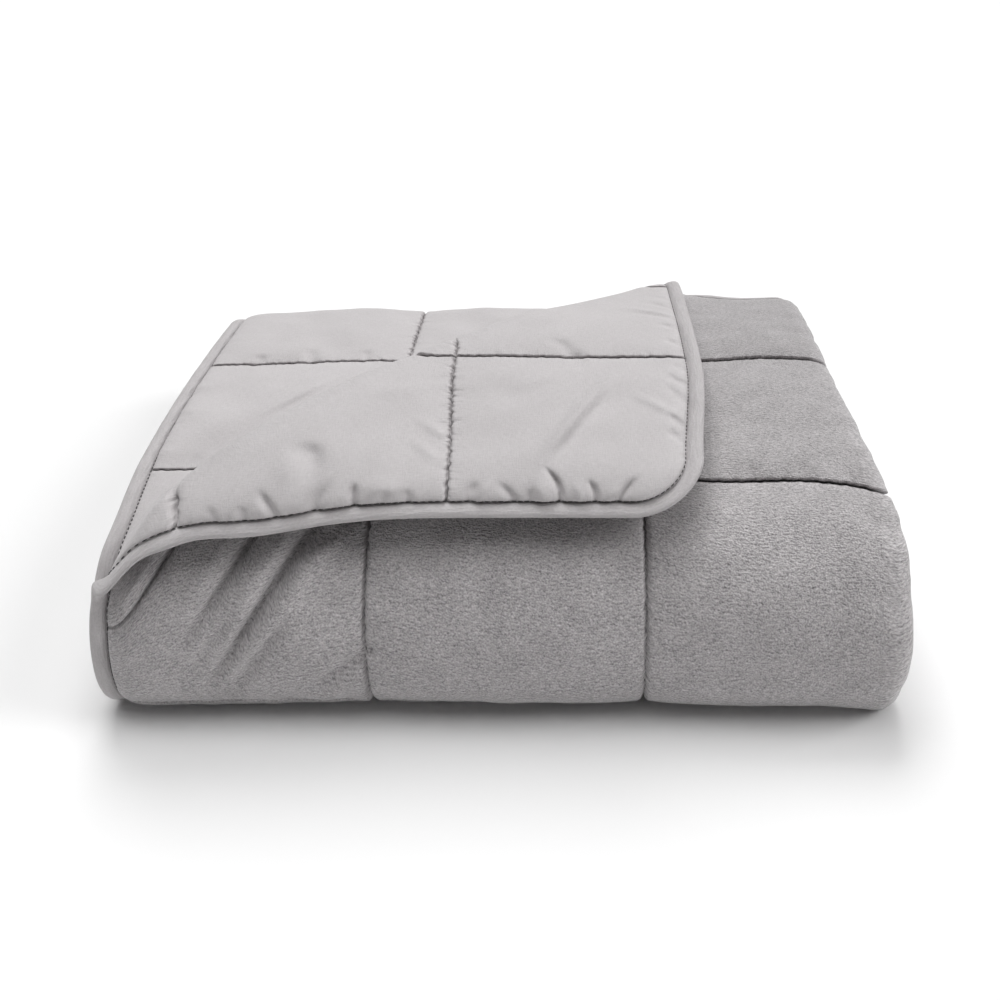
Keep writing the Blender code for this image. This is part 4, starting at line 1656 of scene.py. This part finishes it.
    def binding(self, edge: BoundEdge, side: Side) -> Array:
        """Lay out one row round the cut edge, where the binding is sewn on.

        Args:
            edge: the binding.
            side: the side of the quilt.

        Returns:
            The middle of every stitch.
        """
        u, v, *_ = edge.rim_path(self.binding_inset, self.pitch)
        half = Relief(self.form, side).half_thickness(u, v) + self.radius
        return self.clear_of_floor(self.form.place(u, v, side.value * half))

    def clear_of_floor(self, row: Array) -> Array:
        """Keep the middles of the stitches high enough that no stitch dips into the floor."""
        row[:, 2] = np.maximum(row[:, 2], self.length / 2)
        return row


# ------------------------------------------------------------------ finishes


@dataclass(frozen=True)
class Grain:
    """One scale of a cloth's unevenness.

    The size is in metres along and across the grain, which is turned by an angle in radians.
    Tone and height are what its noise adds to the colour's share and, in metres, to the bump.
    """

    size: Point
    turn: float
    tone: float
    height: float = 0.0


@dataclass(frozen=True)
class Gathers:
    """Fine creases along the seams: how far they reach, their size and height, in metres."""

    reach: float
    length: float
    width: float
    height: float


class Finish:
    """A cloth finish, built as a node material."""

    specular: float = 0.2
    noise_detail: float = 2.0
    gather_detail: float = 1.0

    def __init__(self, name: str) -> None:
        """Start an empty Principled material.

        Args:
            name: the name of the finish.
        """
        self.material = bpy.data.materials.new(name)
        self.material.use_nodes = True
        self.nodes = NodeTree(self.material.node_tree)
        self.shader = self.material.node_tree.nodes["Principled BSDF"]
        self.shader.inputs["Metallic"].default_value = 0.0

    def flat_place(self) -> tuple[bpy.types.NodeSocket, Value, Value]:
        """Read the flat place in metres.

        Returns:
            It as a vector, and its two numbers.
        """
        uv = self.nodes.add("ShaderNodeUVMap", {"uv_map": "flat"})
        parts = self.nodes.add("ShaderNodeSeparateXYZ", inputs={0: uv.outputs[0]})
        return (
            uv.outputs[0],
            Value(self.nodes, parts.outputs[0]),
            Value(self.nodes, parts.outputs[1]),
        )

    def noise(
        self, place: bpy.types.NodeSocket, size: Point, turn: float, detail: float
    ) -> Value:
        """Add noise whose grain has a size of its own along two ways.

        Args:
            place: the vector that the noise is read at.
            size: the grain along and across, in metres.
            turn: how far the grain is turned, in radians.
            detail: how many finer scales it holds.

        Returns:
            The noise, from about 0 to 1.
        """
        mapping = self.nodes.add(
            "ShaderNodeMapping",
            inputs={
                "Vector": place,
                "Rotation": (0.0, 0.0, turn),
                "Scale": (1.0 / size[0], 1.0 / size[1], 1.0 / size[0]),
            },
        )
        noise = self.nodes.add(
            "ShaderNodeTexNoise",
            inputs={"Vector": mapping.outputs[0], "Scale": 1.0, "Detail": detail},
        )
        return Value(self.nodes, noise.outputs[0])

    def blend(
        self,
        place: bpy.types.NodeSocket,
        grains: tuple[Grain, ...],
        tone: Value | float = 0.0,
        height: Value | float = 0.0,
    ) -> tuple[Value, Value]:
        """Add every grain's noise to a tone and to a height.

        Args:
            place: the vector that the noise is read at.
            grains: the grains, in order.
            tone: the tone to begin with.
            height: the height to begin with, in metres.

        Returns:
            The tone and the height with the grains in them.
        """
        for grain in grains:
            noise = self.noise(place, grain.size, grain.turn, self.noise_detail)
            tone = noise * grain.tone + tone
            if grain.height:
                height = noise * grain.height + height
        return tone, height

    def gathers(self, sizes: Gathers) -> Value:
        """Add the fine creases that run away from every seam and cut edge.

        Args:
            sizes: how far they reach, and their size and height.

        Returns:
            Their height in metres.
        """
        quilt = QuiltSizes()
        place, across, along = self.flat_place()
        border = quilt.border_share * quilt.pocket
        total = 0.0
        for spot, size, grain in (
            (across, quilt.width, (sizes.length, sizes.width)),
            (along, quilt.length, (sizes.width, sizes.length)),
        ):
            seam = (spot - border).to_nearest(quilt.pocket)
            edge = spot.lesser(size - spot).positive()
            near = seam.lesser(edge).near(sizes.reach)
            total = self.noise(place, grain, 0.0, self.gather_detail) * near + total
        return total * sizes.height

    def shade(self, amount: Value, dark: Colour, light: Colour) -> bpy.types.NodeSocket:
        """Mix two colours.

        Args:
            amount: the share of the light one, from 0 to 1.
            dark: the dark colour.
            light: the light colour.

        Returns:
            The mixed colour.
        """
        mix = self.nodes.add(
            "ShaderNodeMix",
            {"data_type": "RGBA"},
            {"Factor": amount, 6: (*dark, 1.0), 7: (*light, 1.0)},
        )
        return mix.outputs[2]

    def dress(self, colour: bpy.types.NodeSocket, height: Value, strength: float) -> None:
        """Link the colour and the bump to the material.

        Args:
            colour: the colour.
            height: the height of the bump in metres.
            strength: the strength of the bump.
        """
        bump = self.nodes.add(
            "ShaderNodeBump", inputs={"Height": height, "Strength": strength, "Distance": 1.0}
        )
        links = self.material.node_tree.links
        links.new(colour, self.shader.inputs["Base Color"])
        links.new(bump.outputs[0], self.shader.inputs["Normal"])

    def sheen(self, weight: float, roughness: float, rough: float) -> None:
        """Set the sheen of the cloth and the roughness under it.

        Args:
            weight: the weight of the sheen.
            roughness: the roughness of the sheen.
            rough: the roughness of the cloth.
        """
        self.shader.inputs["Sheen Weight"].default_value = weight
        self.shader.inputs["Sheen Roughness"].default_value = roughness
        self.shader.inputs["Roughness"].default_value = rough
        self.shader.inputs["Specular IOR Level"].default_value = self.specular


@dataclass(frozen=True)
class PlushFinish:
    """Short velvety pile with a soft sheen."""

    dark: Colour = (0.095, 0.089, 0.091)
    light: Colour = (0.770, 0.736, 0.746)
    tone: float = -0.58
    grains: tuple[Grain, ...] = (
        Grain((0.0011, 0.0009), 0.3, tone=1.1, height=0.00070),
        Grain((0.0034, 0.0012), 0.25, tone=0.8, height=0.00110),
        Grain((0.018, 0.012), 0.2, tone=0.25),
    )
    gathers: Gathers = Gathers(reach=0.012, length=0.009, width=0.0018, height=0.0008)

    def build(self) -> bpy.types.Material:
        """Make the material.

        Returns:
            The plush cloth.
        """
        finish = Finish("plush_fabric")
        place, _, _ = finish.flat_place()
        tone, height = finish.blend(place, self.grains, self.tone)
        colour = finish.shade(tone, self.dark, self.light)
        finish.dress(colour, height + finish.gathers(self.gathers), strength=1.0)
        finish.sheen(weight=0.55, roughness=0.45, rough=0.85)
        return finish.material


@dataclass(frozen=True)
class WovenFinish:
    """Smooth matt plain weave."""

    dark: Colour = (0.450, 0.429, 0.433)
    light: Colour = (0.578, 0.556, 0.561)
    thread: float = 0.00055
    thread_tone: float = 0.20
    thread_height: float = 0.00003
    tone: float = -0.60
    grains: tuple[Grain, ...] = (
        Grain((0.0008, 0.0042), 0.06, tone=0.90, height=0.00020),
        Grain((0.0042, 0.0008), 0.06, tone=0.90, height=0.00020),
        Grain((0.030, 0.022), 0.4, tone=0.4),
    )
    gathers: Gathers = Gathers(reach=0.014, length=0.010, width=0.0016, height=0.0008)

    def build(self) -> bpy.types.Material:
        """Make the material.

        Returns:
            The woven cloth.
        """
        finish = Finish("woven_fabric")
        place, across, along = finish.flat_place()
        weave = across.wave(self.thread) * along.wave(self.thread)
        tone, height = finish.blend(
            place,
            self.grains,
            weave * self.thread_tone + self.tone,
            weave * self.thread_height,
        )
        colour = finish.shade(tone, self.dark, self.light)
        finish.dress(colour, height + finish.gathers(self.gathers), strength=0.8)
        finish.sheen(weight=0.15, roughness=0.5, rough=0.9)
        return finish.material


@dataclass(frozen=True)
class BindingFinish:
    """The same plain weave cut on the slant, drawn into fine creases by its stitching."""

    dark: Colour = (0.375, 0.357, 0.361)
    light: Colour = (0.585, 0.561, 0.567)
    thread: float = 0.00055
    thread_tone: float = 0.15
    thread_height: float = 0.00003
    tone: float = -0.35
    grains: tuple[Grain, ...] = (
        Grain((0.0120, 0.0016), 0.35, tone=0.5, height=0.0010),
        Grain((0.0016, 0.0010), 0.8, tone=0.7, height=0.00025),
        Grain((0.022, 0.006), 0.0, tone=0.5),
    )

    def build(self) -> bpy.types.Material:
        """Make the material.

        Returns:
            The binding's cloth.
        """
        finish = Finish("binding_fabric")
        place, run, turn = finish.flat_place()
        weave = (run + turn).wave(self.thread) * (run - turn).wave(self.thread)
        tone, height = finish.blend(
            place,
            self.grains,
            weave * self.thread_tone + self.tone,
            weave * self.thread_height,
        )
        finish.dress(finish.shade(tone, self.dark, self.light), height, strength=0.9)
        finish.sheen(weight=0.15, roughness=0.5, rough=0.9)
        return finish.material


@dataclass(frozen=True)
class PaintedShadeThreadFinish:
    """Twisted sewing thread, coloured near black as painted shade for the dark seam grooves it
    lies in; the real thread is grey like the cloth.
    """

    # Painted shade: these near-black tones stand for the shadow down in the seam grooves, not for
    # the thread's own grey.
    dark: Colour = (0.050, 0.048, 0.049)
    light: Colour = (0.125, 0.120, 0.121)
    grains: tuple[Grain, ...] = (Grain((0.0004, 0.0004), 0.7, tone=1.0, height=0.0001),)

    def build(self) -> bpy.types.Material:
        """Make the material.

        Returns:
            The thread.
        """
        finish = Finish("thread")
        place = finish.nodes.add("ShaderNodeTexCoord").outputs["Object"]
        tone, height = finish.blend(place, self.grains)
        finish.dress(finish.shade(tone, self.dark, self.light), height, strength=0.8)
        finish.sheen(weight=0.1, roughness=0.5, rough=0.7)
        return finish.material


# ------------------------------------------------------------------ studio


@dataclass
class Studio:
    """Pale floor, soft light and the camera at the photograph's angle."""

    eye: tuple[float, float, float] = (0.04570, -0.73416, 0.46718)
    pitch: float = 31.952
    lens: float = 44.68
    film: float = 36.0
    shift: Point = (-0.0701, 0.0116)
    floor_profile: tuple[Point, ...] = (  # radius, height
        (5.2, 0.0),
        (5.7, 0.06),
        (6.1, 0.22),
        (6.4, 0.55),
        (6.5, 1.1),
    )
    floor_sides: int = 48
    floor_colour: tuple[float, float, float, float] = (0.90, 0.90, 0.90, 1.0)
    floor_roughness: float = 0.9
    sky: float = 0.03
    suns: tuple[tuple[str, float, float, float, float], ...] = (
        ("softbox_overhead", 88.0, 90.0, 60.0, 1.14),
        ("softbox_back", 50.0, 97.0, 34.0, 1.78),
        ("softbox_left", 60.0, 150.0, 34.0, 0.36),
        ("softbox_right", 35.0, 0.0, 32.0, 1.32),
    )

    def floor(self) -> None:
        """Lay the floor, a wide disc whose far rim curves up."""
        count = self.floor_sides
        rings, faces = [], [list(range(count))]
        for radius, height in self.floor_profile:
            turn = 2.0 * math.pi * np.arange(count) / count
            ring = [radius * np.cos(turn), radius * np.sin(turn), np.full(count, height)]
            rings.append(np.stack(ring, axis=-1))
        for low in range(0, count * (len(rings) - 1), count):
            for i in range(count):
                ahead = (i + 1) % count
                faces.append([low + i, low + ahead, low + count + ahead, low + count + i])
        faces = [faces[0], *(face[::-1] for face in faces[1:])]
        finish = Finish("floor_paint")
        finish.shader.inputs["Base Color"].default_value = self.floor_colour
        finish.shader.inputs["Roughness"].default_value = self.floor_roughness
        new_piece("floor", np.concatenate(rings), faces, finish.material)

    def lamps(self) -> None:
        """Set the soft lamps, by height and bearing in degrees, their spread and their power."""
        for name, height, bearing, spread, power in self.suns:
            data = bpy.data.lights.new(name, "SUN")
            data.angle = math.radians(spread)
            data.energy = power
            lamp = bpy.data.objects.new(name, data)
            lamp.rotation_euler = (math.radians(90.0 - height), 0.0, math.radians(bearing + 90.0))
            bpy.context.scene.collection.objects.link(lamp)
        world = bpy.data.worlds.new("studio")
        world.use_nodes = True
        sky = world.node_tree.nodes["Background"]
        sky.inputs["Color"].default_value = (1.0, 1.0, 1.0, 1.0)
        sky.inputs["Strength"].default_value = self.sky
        bpy.context.scene.world = world
        bpy.context.scene.view_settings.view_transform = "Standard"

    def camera(self) -> None:
        """Set up the camera."""
        data = bpy.data.cameras.new("view")
        data.lens = self.lens
        data.sensor_width = self.film
        data.shift_x, data.shift_y = self.shift
        camera = bpy.data.objects.new("view", data)
        camera.location = self.eye
        camera.rotation_euler = (math.radians(90.0 - self.pitch), 0.0, 0.0)
        bpy.context.scene.collection.objects.link(camera)
        bpy.context.scene.camera = camera

    def build(self) -> None:
        """Make the floor, the lamps and the camera."""
        self.camera()
        self.floor()
        self.lamps()


# ------------------------------------------------------------------ the blanket


class Blanket:
    """The whole dressed blanket."""

    quilting_seeds: tuple[int, int] = (3, 4)
    binding_seed: int = 5

    def __init__(self) -> None:
        """Take the folded form and make the finishes."""
        self.form = FoldedForm()
        self.plush = PlushFinish().build()
        self.woven = WovenFinish().build()
        self.strip = BindingFinish().build()
        self.thread = PaintedShadeThreadFinish().build()

    def settle(self, piece: bpy.types.Object, slot: str, *nodes: str) -> None:
        """Let a piece ride on the body, and hide the CAD solids that it stands for.

        Args:
            piece: the piece.
            slot: the finish that it has; not used.
            nodes: the CAD nodes that it replaces.
        """
        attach(piece, "root")
        if nodes:
            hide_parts(*nodes)
        LOG.info("%s: %d faces", piece.name, len(piece.data.polygons))

    def build(self) -> None:
        """Build every piece."""
        plush = ClothFace(self.form, Side.PLUSH, self.plush).build("plush_face")
        self.settle(plush, "plush_fabric", "quilt")
        woven = ClothFace(self.form, Side.WOVEN, self.woven).build("woven_face")
        self.settle(woven, "woven_fabric", "quilt")
        strip = BoundEdge(self.form, self.strip)
        self.settle(strip.build("bound_edge"), "woven_fabric", "binding")
        stitches = StitchRows(self.form, self.thread)
        for side in Side:
            name = f"quilting_thread_{side.name.lower()}"
            seed = side.pick(self.quilting_seeds)
            self.settle(stitches.build(name, stitches.quilting(side), seed), "woven_fabric")
        rows = [stitches.binding(strip, side) for side in Side]
        thread = stitches.build("binding_thread", rows, self.binding_seed)
        self.settle(thread, "woven_fabric")


def main() -> None:
    """Build the studio and the blanket, in that order."""
    Studio().build()
    Blanket().build()


if __name__ == "__main__":
    main()
